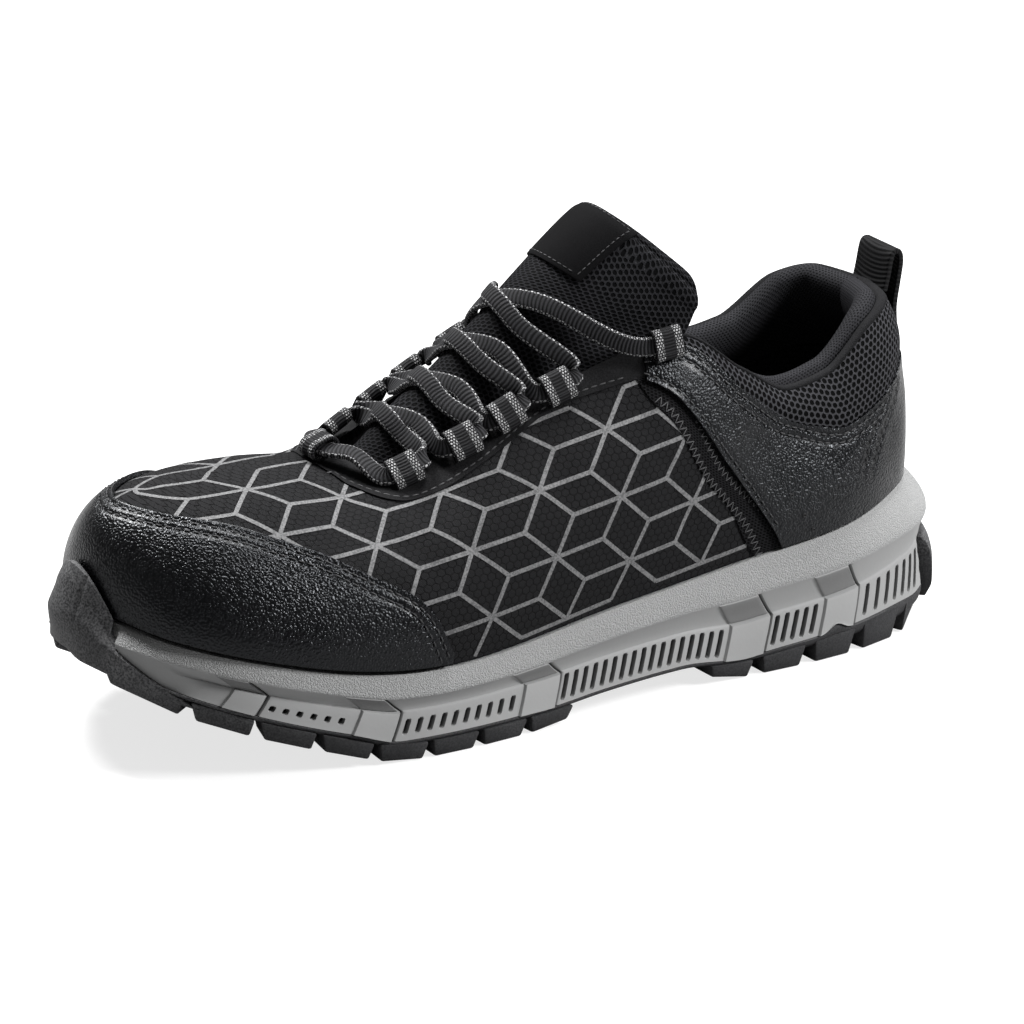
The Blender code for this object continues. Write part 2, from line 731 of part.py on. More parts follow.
def make_midsole(parts, cutters):
    """Foam midsole: cup with a ribbed, stepped side and a sunk foot bed."""
    levels = [row.level for row in MIDSOLE_SIDE]
    rim = len(levels)

    def section(r, row):
        if row < rim:
            return midsole_side(r, levels[row])
        x, y = outline(r, -float(foot_inset(r)) - WALL - 1.2)
        if row == rim:
            return Vector((x, y, float(feather_z(r)) - RIM_GAP))
        x, y = outline(r, -float(foot_inset(r)) - WALL - 4.0)
        return Vector((x, y, float(bed_z(x))))

    def point(r, row):
        if row == 0:
            return spine(lambda q: section(q, 0), r)
        if row == rim + 3:
            return spine(lambda q: section(q, rim + 1), r)
        return section(r, row - 1)

    columns = sole_columns(block_edges() + guard_edges())
    item = new_object("midsole", mapped_grid(point, columns, range(rim + 4)), parts, "foam")
    join_with(item, new_object("slots", slot_blocks(), cutters), "DIFFERENCE")
    return item


def slot_blocks():
    """Upright slots in the flare of the midsole, both sides."""
    bm = bmesh.new()
    for group in SLOT_GROUPS:
        for k in range(group.count):
            r = group.front + (group.back - group.front) * (k + 0.5) / group.count
            for middle in (r, RING - r):
                slot(bm, middle, group.low, group.high)
    return bm


def slot(bm, r, low, high):
    """One slot, as a block that reaches out past the flare."""
    run = math.hypot(sole_x_slope(r), sole_y_slope(r))
    half = 0.5 * SLOT_WIDTH / run
    corners = []
    for level in (low, high):
        z = midsole_side(r, level).z
        face = midsole_out(r, level)
        for side, out in ((-half, 2.5), (half, 2.5), (half, face - 1.6), (-half, face - 1.6)):
            corners.append(Vector((*outline(r + side, out), z)))
    box_from(bm, corners)


def make_insole(parts):
    """Insole board lying in the foot bed."""
    def section(r, row):
        margin = float(foot_inset(r)) + WALL + (5.0, 4.6, 5.0)[row]
        x, y = outline(r, -margin)
        return Vector((x, y, float(bed_z(x)) + GAP + (0.0, 0.6, 1.0)[row] * INSOLE_THICK))

    def point(r, row):
        if row == 0:
            return spine(lambda q: section(q, 0), r)
        if row == 4:
            return spine(lambda q: section(q, 2), r)
        return section(r, row - 1)

    return new_object("insole", mapped_grid(point, ring_columns(0.5), range(5)), parts, "lining")


def make_upper(parts):
    """Lasted upper: one wall, open at the collar, the throat and underneath."""
    def point(v, r):
        return upper_point(r, v)

    return thick_sheet("upper", point, span(0.0, 1.0, 7), ring_columns(1.0 / 3.0), WALL, "fabric", parts)


def make_overlay(name, sections, low, high, steps, parts):
    """Leather panel over the upper between two edge lines."""
    def point(v, r):
        start = low(r)
        return over_upper(r, start + v * (high(r) - start), OVERLAY_GAP + OVERLAY)

    return thick_sheet(name, point, span(0.0, 1.0, steps), sections, OVERLAY, "leather", parts)


def make_panels(parts):
    """Toe cap, quarters and heel counter."""
    cap_top = table_curve(CAP_EDGE, "section", "up")
    quarter_low = table_curve(QUARTER_FRONT, "section", "up")
    quarter_high = table_curve(QUARTER_TOP, "section", "up")
    seam = table_curve(BACK_SEAM, "section", "up")

    def feather(r):
        return FEATHER_SHARE

    def cap(r):
        return float(cap_top(from_heel(r)))

    def quarter_start(r):
        section = from_heel(r)
        if section < BACK_SEAM[-1].section:
            return float(seam(section)) + SEAM_SHARE
        return float(quarter_low(section))

    def quarter_end(r):
        return float(quarter_high(from_heel(r)))

    def counter_end(r):
        section = from_heel(r)
        if section < BACK_SEAM[0].section:
            return quarter_end(r)
        return float(seam(section)) - SEAM_SHARE

    cap_start = CAP_EDGE[0].section
    inner = [k / 3.0 for k in range(24, 3 * (RING - 8) + 1)]
    make_overlay("toe_cap", [cap_start] + inner + [RING - cap_start], feather, cap, 5, parts)
    front = [QUARTER_FRONT[k].section for k in (0, 1, 2)]
    sections = [2.05, 2.33, 2.5, 2.62, 2.70, 2.76] + span(3.1, 3.6, 2) + front + span(4.7, 6.2, 5)
    make_overlay("quarter_lateral", sections, quarter_start, quarter_end, 4, parts)
    mirrored = [RING - r for r in reversed(sections)]
    make_overlay("quarter_medial", mirrored, quarter_start, quarter_end, 4, parts)
    reach = [0.0, 0.35, 0.7, 1.05, 1.4, 1.66, 2.0, 2.33, 2.55, 2.66]
    sections = [-r for r in reversed(reach[1:])] + reach
    make_overlay("heel_counter", sections, feather, counter_end, 4, parts)


def make_collar(parts):
    """Padded collar roll inside the top of the upper."""
    def point(r, k):
        roll = COLLAR[k % len(COLLAR)]
        fullness = 1.0 - (1.0 - COLLAR_THIN) * ease(abs(r), 4.0, COLLAR_END)
        depth = WALL + COLLAR_GAP + roll.depth * fullness
        return over_upper(r, roll.up, -depth) + inward_at_top(r) * (roll.rise * fullness)

    columns = span(-COLLAR_END, COLLAR_END, 22)
    bm = mapped_grid(point, columns, range(len(COLLAR) + 1), fill_ends=True)
    return new_object("collar", bm, parts, "lining")


def make_tongue(parts):
    """Padded tongue and the woven label near its top."""
    across = (-1.0, -0.8, -0.5, 0.0, 0.5, 0.8, 1.0)
    loop = [(s, 0.0) for s in across] + [(s, 1.0) for s in reversed(across)]
    loop.append(loop[0])

    def point(u, k):
        s, under = loop[k]
        pad = TONGUE_EDGE + (float(tongue_pad(u)) - TONGUE_EDGE) * (1.0 - s * s)
        return over_tongue(u, s, -under * pad)

    bm = mapped_grid(point, span(0.0, TONGUE_END, 15), range(len(loop)), fill_ends=True)
    new_object("tongue", bm, parts, "mesh")

    def label(s, u):
        return over_tongue(u, s, LABEL_GAP + LABEL_THICK)

    columns = span(-LABEL_SIDE, LABEL_SIDE, 6)
    rows = span(LABEL_START, LABEL_END, 3)
    return thick_sheet("tongue_label", label, columns, rows, LABEL_THICK, "label", parts)


def loop_frame(r, over):
    """Middle of the rounded foot of a lace loop, with its directions along, up and out."""
    up = inward_at_top(r)
    ahead = (top_edge(r + 0.05) - top_edge(r - 0.05)).normalized()
    flat = Vector((up.x, up.y, 0.0)).normalized()
    angle = math.radians(float(rise_in(r)) + LOOP_TILT)
    climb = flat * math.cos(angle) + Vector((0.0, 0.0, math.sin(angle)))
    climb = (climb - ahead * climb.dot(ahead)).normalized()
    out = climb.cross(ahead)
    if out.z < 0.0:
        out = -out
    foot = over_upper(r, LOOP_SEAT, 0.5 * LOOP_DEPTH + LOOP_GAP + over)
    return foot, ahead, climb, out


def front_loop_frame():
    """The same for the loop at the front of the throat, which lies back over the tongue."""
    base = top_edge(10.0)
    tilt = math.radians(FRONT_LOOP_TILT)
    foot = Vector((base.x + FRONT_LOOP_SEAT, base.y, base.z + 0.5 * FRONT_LOOP_DEPTH + LOOP_GAP))
    climb = Vector((-math.cos(tilt), 0.0, math.sin(tilt)))
    out = Vector((math.sin(tilt), 0.0, math.cos(tilt)))
    return foot, Vector((0.0, 1.0, 0.0)), climb, out


def loop_front_middle():
    """Middle of the opening of the front loop."""
    foot, ahead, climb, out = front_loop_frame()
    return foot + climb * (0.5 * (LOOP_LENGTH - FRONT_LOOP_DEPTH))


def band_loop(name, frame, width, depth, parts):
    """Folded webbing band: a flat ring standing on its rounded foot, open along the throat."""
    foot, ahead, climb, out = frame
    radius = 0.5 * depth
    turns = []
    for start, rise in ((0.5, 0.0), (1.5, LOOP_LENGTH - depth)):
        for k in range(4):
            angle = math.pi * (start + k / 3.0)
            turns.append((rise + radius * math.cos(angle), radius * math.sin(angle)))
    turns.append(turns[0])

    def point(k, w):
        rise, lift = turns[k]
        return foot + climb * rise + out * lift + ahead * (w * width)

    return thick_sheet(name, point, range(len(turns)), (-0.5, 0.5), WEBBING_THICK, "webbing", parts)


def make_loops(parts):
    """Webbing loops along both sides of the throat and one at its front."""
    for k, eyelet in enumerate(LATERAL_LOOPS):
        frame = loop_frame(eyelet.section, eyelet.over)
        band_loop(f"lace_loop_lateral_{k + 1}", frame, LOOP_WIDTH, LOOP_DEPTH, parts)
    for k, eyelet in enumerate(MEDIAL_LOOPS):
        frame = loop_frame(RING - eyelet.section, eyelet.over)
        band_loop(f"lace_loop_medial_{k + 1}", frame, LOOP_WIDTH, LOOP_DEPTH, parts)
    band_loop("lace_loop_front", front_loop_frame(), FRONT_LOOP_WIDTH, FRONT_LOOP_DEPTH, parts)


def strap(start, end):
    """Flat lace over the tongue from the outer to the inner side."""
    def point(w, t):
        u = start + (end - start) * t
        s = LACE_REACH * (1.0 - 2.0 * t)
        ridge, out = tongue_frame(u)
        run = Vector((-out.z, 0.0, out.x))
        return over_tongue(u, s, LACE_LIFT + LACE_THICK) + run * (w * LACE_WIDTH)

    return point


def make_laces(parts, cutters):
    """Lace crossings, each one solid, and the front bar."""
    rows = span(0.0, 1.0, 6)
    for k in range(4):
        first = strap(LATERAL_LOOPS[k].row + LACE_SPREAD, MEDIAL_LOOPS[k + 1].row - LACE_SPREAD)
        second = strap(LATERAL_LOOPS[k + 1].row - LACE_SPREAD, MEDIAL_LOOPS[k].row + LACE_SPREAD)
        item = thick_sheet(f"lace_cross_{k + 1}", first, (0.5, -0.5), rows, LACE_THICK, "lace", parts)
        other = thick_sheet(f"lace_strap_{k + 1}", second, (0.5, -0.5), rows, LACE_THICK, None, cutters)
        join_with(item, other, "UNION")

    def bar(w, t):
        angle = math.radians(BAR_SWEEP) * (2.0 * t - 1.0)
        tilt = math.radians(FRONT_LOOP_TILT) * math.cos(angle)
        reach = BAR_RADIUS + w * BAR_WIDTH * math.cos(tilt)
        centre = loop_front_middle()
        x = centre.x - BAR_RADIUS + reach * math.cos(angle)
        y = centre.y - reach * math.sin(angle)
        drop = w * BAR_WIDTH * math.sin(tilt)
        return Vector((x + 0.5 * LACE_THICK * math.sin(tilt), y, centre.z + 0.5 * LACE_THICK - drop))

    return thick_sheet("lace_bar_front", bar, (0.5, -0.5), span(0.0, 1.0, 12), LACE_THICK, "lace", parts)


def make_pull_loop(parts):
    """Webbing pull loop over the back of the collar."""
    path = [over_upper(0.0, leg.up, leg.over) for leg in PULL_LEG]
    path += [Vector((turn.x, 0.0, turn.z)) for turn in PULL_ARCH]
    path_x = steady_line(range(len(path)), [point.x for point in path])
    path_z = steady_line(range(len(path)), [point.z for point in path])

    def point(u, w):
        return Vector((float(path_x(u)), w * PULL_WIDTH, float(path_z(u))))

    columns = span(0.0, len(path) - 1, 15)
    return thick_sheet("pull_loop", point, columns, (-0.5, 0.5), PULL_THICK, "webbing", parts)


def clear_scene():
    """Start from an empty scene."""
    for item in list(bpy.data.objects):
        bpy.data.objects.remove(item, do_unlink=True)


def new_collection(name):
    """Collection under the scene."""
    collection = bpy.data.collections.new(name)
    bpy.context.scene.collection.children.link(collection)
    return collection


def main():
    """Build every piece and hang it on one root."""
    clear_scene()
    parts = new_collection(PARTS)
    cutters = new_collection(CUTTERS)
    make_outsole(parts, cutters)
    make_midsole(parts, cutters)
    make_insole(parts)
    make_upper(parts)
    make_panels(parts)
    make_collar(parts)
    make_tongue(parts)
    make_loops(parts)
    make_laces(parts, cutters)
    make_pull_loop(parts)
    root = bpy.data.objects.new("shoe_root", None)
    parts.objects.link(root)
    for item in parts.objects:
        if item.type == "MESH":
            item.parent = root


main()
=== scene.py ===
"""Looks of a work sneaker for the left foot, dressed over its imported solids."""
import logging
import math
from dataclasses import dataclass, field
from enum import Enum
from typing import Callable, NamedTuple, Sequence

import bpy
import numpy as np
from mathutils import Matrix, Vector


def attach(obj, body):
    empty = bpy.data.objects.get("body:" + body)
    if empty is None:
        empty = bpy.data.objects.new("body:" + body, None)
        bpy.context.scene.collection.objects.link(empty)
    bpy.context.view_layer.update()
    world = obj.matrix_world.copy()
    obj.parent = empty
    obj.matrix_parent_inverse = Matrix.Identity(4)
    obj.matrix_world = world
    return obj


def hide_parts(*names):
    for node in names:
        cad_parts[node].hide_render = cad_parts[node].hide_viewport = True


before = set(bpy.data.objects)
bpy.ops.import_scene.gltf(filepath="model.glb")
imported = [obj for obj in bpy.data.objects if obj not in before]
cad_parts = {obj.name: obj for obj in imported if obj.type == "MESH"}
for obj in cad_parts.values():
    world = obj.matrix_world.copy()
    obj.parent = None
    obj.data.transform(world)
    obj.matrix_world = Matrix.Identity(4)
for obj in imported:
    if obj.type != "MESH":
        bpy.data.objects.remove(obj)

log = logging.getLogger("work_sneaker")

Array = np.ndarray
Curve = Callable[[Array], Array]
Surface = Callable[[Array, Array], Array]
Item = bpy.types.Object
Material = bpy.types.Material
Socket = bpy.types.NodeSocket
Feed = Socket | float | Sequence[float]
Colour = tuple[float, float, float]
Spot = tuple[float, float, float]

MM = 0.001
BODY = "root"
MIDDLE = np.array([155.0, 1.175, 0.0])
UPWARD = np.array([0.0, 0.0, 1.0])
FULL_TURN = 2.0 * math.pi


class Slot(Enum):
    """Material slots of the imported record."""

    RUBBER = "rubber"
    FOAM = "foam"
    CLOTH = "upper_fabric"
    LEATHER = "leather"
    LINING = "lining"
    TONGUE = "tongue_mesh"
    LABEL = "label"
    WEBBING = "webbing"
    LACE = "lace"


class Seam(Enum):
    """Kinds of stitching, each by the name of its piece."""

    PANEL = "stitching"
    ZIGZAG = "zigzag_stitching"
    LABEL = "label_stitching"


class Side(Enum):
    """Outer and inner side of the shoe."""

    LATERAL = "lateral"
    MEDIAL = "medial"

    @property
    def other(self) -> "Side":
        """The opposite side."""
        return Side.MEDIAL if self is Side.LATERAL else Side.LATERAL

    @property
    def sign(self) -> float:
        """1 for the outer side and -1 for the inner one."""
        return 1.0 if self is Side.LATERAL else -1.0

    def around(self, section: Array) -> Array:
        """Section numbers of the outer side, carried to this side."""
        return section if self is Side.LATERAL else RING - section

    def ring(self, sections: Array) -> Array:
        """The same for the rising columns of a grid."""
        return sections if self is Side.LATERAL else (RING - sections)[::-1]


class Section(NamedTuple):
    """Plan of the sole and height of the feather line at one place along the shoe."""

    x: float
    lateral: float
    medial: float
    feather: float


class Profile(NamedTuple):
    """Top edge of the upper at one section, and how the wall leaves and arrives."""

    top_x: float
    top_y: float
    top_z: float
    crown: float
    turn: float
    rise: float
    lean: float
    foot_pull: float
    top_pull: float
    inset: float


class Mark(NamedTuple):
    """Place on the upper: section number, and share of the way up to the top edge."""

    section: float
    up: float


class Crease(NamedTuple):
    """Soft trough, or ridge if the depth is negative, between two places on the upper."""

    start: Mark
    end: Mark
    width: float
    depth: float


SOLE = (
    Section(0, 0.0, 0.0, 50.0), Section(7, 22.6, -22.8, 49.3), Section(24, 35.1, -34.8, 47.1),
    Section(52, 42.3, -40.4, 42.5), Section(84, 44.0, -39.5, 39.1), Section(116, 46.1, -37.6, 35.6),
    Section(148, 49.6, -39.1, 32.5), Section(180, 53.8, -44.4, 28.9), Section(210, 55.9, -50.4, 27.4),
    Section(240, 53.4, -53.0, 30.2), Section(268, 46.1, -48.4, 35.9), Section(289, 33.2, -38.6, 40.0),
    Section(301.8, 15.5, -23.6, 42.2), Section(306.8, -5.6, -5.6, 42.7),
)
UPPER = (
    Profile(20, 0.0, 107.0, 0, -90, 72, 0, 24, 20, 10.8),
    Profile(26, 18.0, 107.5, 0, -58, 74, 1, 24, 20, 10.8),
    Profile(38, 27.0, 103.5, 0, -22, 78, 4, 22, 18, 7.8),
    Profile(56, 30.5, 90.5, 0, -4, 80, 8, 17, 13, 4.5),
    Profile(71, 31.5, 88.0, 0, 0, 77, 10, 16, 14, 3.8),
    Profile(90, 32.0, 97.5, 0, 0, 70, 9, 20, 20, 3.5),
    Profile(112, 27.0, 110.0, 0, 0, 58, 8, 28, 26, 3.5),
    Profile(150, 23.0, 99.5, 0, 0, 38, 8, 28, 24, 3.5),
    Profile(182, 20.0, 86.0, 0, 0, 26, 8, 25, 22, 3.5),
    Profile(204, 14.0, 78.0, -1, 0, 14, 8, 23, 24, 3.5),
    Profile(216, 0.0, 78.0, -2, 0, 4, 8, 22, 31, 3.5),
    Profile(234, 0.0, 78.5, -4, 18, 2, 6, 26, 33, 5.0),
    Profile(248, 0.0, 78.0, -5, 52, 3, 4, 29, 35, 8.0),
    Profile(255, 0.0, 78.0, -6, 90, 4, 2, 30, 36, 9.5),
)
LAST = len(SOLE) - 1
RING = 2 * LAST

# Main creases of the upper: behind the cap, below the loops, at the band and under the collar
CREASES = (
    Crease(Mark(8.35, 0.44), Mark(9.3, 0.62), 5.0, 0.55),
    Crease(Mark(9.9, 0.70), Mark(11.2, 0.84), 5.5, 0.5),
    Crease(Mark(7.3, 0.80), Mark(6.9, 0.52), 4.5, 0.45),
    Crease(Mark(8.2, 0.72), Mark(7.9, 0.46), 4.5, 0.4),
    Crease(Mark(6.35, 0.74), Mark(5.7, 0.50), 4.0, 0.5),
    Crease(Mark(5.5, 0.42), Mark(4.9, 0.20), 5.0, 0.4),
    Crease(Mark(3.1, 0.52), Mark(4.6, 0.70), 5.0, 0.55),
    Crease(Mark(1.2, 0.55), Mark(2.1, 0.36), 6.0, 0.5),
    Crease(Mark(6.0, 0.60), Mark(6.9, 0.66), 5.0, -0.35),
)
CAP_EDGE = (
    Mark(7.85, 0.06), Mark(8.2, 0.24), Mark(8.68, 0.36), Mark(9.5, 0.445), Mark(10.43, 0.50),
    Mark(11.6, 0.565), Mark(13.0, 0.58),
)
QUARTER_FRONT = (
    Mark(3.80, 0.02), Mark(3.95, 0.16), Mark(4.36, 0.38), Mark(5.13, 0.60), Mark(5.88, 0.74),
    Mark(6.40, 0.87),
)
QUARTER_TOP = (
    Mark(0.0, 0.66), Mark(1.0, 0.65), Mark(1.6, 0.61), Mark(2.14, 0.57), Mark(2.73, 0.59),
    Mark(3.44, 0.70), Mark(4.39, 0.84), Mark(5.12, 0.90), Mark(5.71, 0.945), Mark(6.40, 0.985),
)
BACK_SEAM = (
    Mark(1.62, 0.608), Mark(1.82, 0.545), Mark(2.02, 0.495), Mark(2.33, 0.42), Mark(2.62, 0.26),
    Mark(2.74, 0.04),
)
EYESTAY_EDGE = (
    Mark(6.2, 0.86), Mark(6.51, 0.88), Mark(7.12, 0.905), Mark(7.71, 0.85), Mark(8.45, 0.785),
    Mark(9.2, 0.77), Mark(9.89, 0.80), Mark(10.3, 0.90), Mark(10.48, 0.985),
)
BAND_FRONT = (
    Mark(4.08, 0.0), Mark(4.6, 0.34), Mark(5.57, 0.59), Mark(6.27, 0.78), Mark(6.56, 1.0),
)
PERFORATIONS = (Mark(4.93, 0.70), Mark(3.80, 0.34), Mark(3.58, 0.19), Mark(3.44, 0.075))


class SmoothRing:
    """Closed cubic spline through evenly numbered values."""

    def __init__(self, values: Sequence[float]) -> None:
        """Solve for the bends of the spline through the values."""
        self.values = np.asarray(values, dtype=float)
        one = np.eye(len(self.values))
        system = 4.0 * one + np.roll(one, 1, axis=1) + np.roll(one, -1, axis=1)
        second = np.roll(self.values, -1) - 2.0 * self.values + np.roll(self.values, 1)
        self.bend = np.linalg.solve(system, 6.0 * second)

    def _split(self, r: Array) -> tuple[Array, Array, Array]:
        """Share within a span at section numbers, and the numbers of its two ends."""
        base = np.floor(r).astype(int)
        here = base % len(self.values)
        return r - base, here, (here + 1) % len(self.values)

    def __call__(self, r: Array) -> Array:
        """Value at section numbers."""
        t, a, b = self._split(np.asarray(r, dtype=float))
        near = (1.0 - t) * self.values[a] + ((1.0 - t) ** 3 - (1.0 - t)) * self.bend[a] / 6.0
        return near + t * self.values[b] + (t ** 3 - t) * self.bend[b] / 6.0

    def slope(self, r: Array) -> Array:
        """Slope at section numbers."""
        t, a, b = self._split(np.asarray(r, dtype=float))
        swing = (3.0 * t ** 2 - 1.0) * self.bend[b] - (3.0 * (1.0 - t) ** 2 - 1.0) * self.bend[a]
        return self.values[b] - self.values[a] + swing / 6.0


class SteadyLine:
    """Open curve through values at given places that never overshoots them."""

    def __init__(self, places: Sequence[float], values: Sequence[float]) -> None:
        """Work out the slope at each place.

        Args:
            places: rising places along the line.
            values: value at each place.
        """
        self.x = np.asarray(places, dtype=float)
        self.y = np.asarray(values, dtype=float)
        self.width = np.diff(self.x)
        rate = np.diff(self.y) / self.width
        self.slopes = np.zeros(len(self.x))
        self.slopes[0] = rate[0]
        self.slopes[-1] = rate[-1]
        for k in range(1, len(self.x) - 1):
            if rate[k - 1] * rate[k] > 0.0:
                ahead = 2.0 * self.width[k] + self.width[k - 1]
                behind = self.width[k] + 2.0 * self.width[k - 1]
                self.slopes[k] = (ahead + behind) / (ahead / rate[k - 1] + behind / rate[k])

    def __call__(self, at: Array) -> Array:
        """Value at places along the line, held beyond its ends."""
        at = np.clip(np.asarray(at, dtype=float), self.x[0], self.x[-1])
        k = np.clip(np.searchsorted(self.x, at, side="right") - 1, 0, len(self.x) - 2)
        t = (at - self.x[k]) / self.width[k]
        near = self.y[k] * (1.0 + 2.0 * t) + self.slopes[k] * self.width[k] * t
        far = self.y[k + 1] * (3.0 - 2.0 * t) + self.slopes[k + 1] * self.width[k] * (t - 1.0)
        return near * (1.0 - t) ** 2 + far * t * t


class EdgeLine(SteadyLine):
    """Share up the wall along marked places, alike on both sides of the shoe."""

    def __init__(self, marks: Sequence[Mark]) -> None:
        """Run the line through the marks."""
        super().__init__([mark.section for mark in marks], [mark.up for mark in marks])

    def __call__(self, at: Array) -> Array:
        """Share at section numbers."""
        return super().__call__(from_heel(at))


class SteadyRing(SteadyLine):
    """The same curve, closed, through evenly numbered values."""

    def __init__(self, values: Sequence[float]) -> None:
        """Repeat the values a little beyond both ends."""
        self.count = len(values)
        super().__init__(range(-2, self.count + 3), np.resize(np.roll(values, 2), self.count + 5))

    def __call__(self, at: Array) -> Array:
        """Value at section numbers."""
        return super().__call__(np.mod(at, self.count))


class SmoothLine:
    """Open cubic spline through points, by the distance along their chords."""

    def __init__(self, points: Sequence[Sequence[float]] | Array) -> None:
        """Solve for the bends of the spline through the points."""
        self.points = np.asarray(points, dtype=float)
        self.at = travel(self.points)
        steps = np.diff(self.at)
        system = np.eye(len(self.at))
        right = np.zeros(self.points.shape)
        for k in range(1, len(steps)):
            before, after = steps[k - 1], steps[k]
            system[k, k - 1:k + 2] = (before, 2.0 * (before + after), after)
            ahead = (self.points[k + 1] - self.points[k]) / after
            right[k] = 6.0 * (ahead - (self.points[k] - self.points[k - 1]) / before)
        self.bend = np.linalg.solve(system, right)

    def __call__(self, at: Array) -> Array:
        """Points at distances along the chords."""
        at = np.clip(np.asarray(at, dtype=float), 0.0, self.at[-1])
        k = np.clip(np.searchsorted(self.at, at, side="right") - 1, 0, len(self.at) - 2)
        width = (self.at[k + 1] - self.at[k])[..., None]
        t = (at - self.at[k])[..., None] / width
        curve = ((1.0 - t) ** 3 - (1.0 - t)) * self.bend[k] + (t ** 3 - t) * self.bend[k + 1]
        return (1.0 - t) * self.points[k] + t * self.points[k + 1] + curve * width ** 2 / 6.0

    def even(self, count: int) -> Array:
        """Points evenly spread along the chords."""
        return self(np.linspace(0.0, self.at[-1], count))


def travel(points: Array) -> Array:
    """Distance along the chords from the first point, for each column of points."""
    steps = np.linalg.norm(np.diff(points, axis=0), axis=-1)
    return np.concatenate([np.zeros_like(steps[:1]), np.cumsum(steps, axis=0)])


def sample(at: Array, places: Array, points: Array) -> Array:
    """Points straight between those at given places along a row."""
    return np.stack([np.interp(at, places, column) for column in points.T], -1)


def unit(vectors: Array) -> Array:
    """Vectors scaled to length one."""
    return vectors / np.linalg.norm(vectors, axis=-1, keepdims=True)


def ease(value: Array, start: float, end: float) -> Array:
    """Smooth step from 0 at start to 1 at end."""
    t = np.clip((np.asarray(value, dtype=float) - start) / (end - start), 0.0, 1.0)
    return t * t * (3.0 - 2.0 * t)


def swollen(value: Array, power: float) -> Array:
    """Size raised to a power, with its sign kept."""
    return np.sign(value) * np.abs(value) ** power


def from_heel(r: Array) -> Array:
    """Section number counted from the heel on either side."""
    turn = np.mod(r, RING)
    return np.minimum(turn, RING - turn)


def to_frame(points: Array) -> Array:
    """Points of the tables, in millimetres from the heel, in the shoe's frame in metres."""
    return (points - MIDDLE) * MM


def tape_chart(at: Array, across: Array) -> Array:
    """Flat place on a tape, across and along it."""
    return np.stack([across, at], -1)


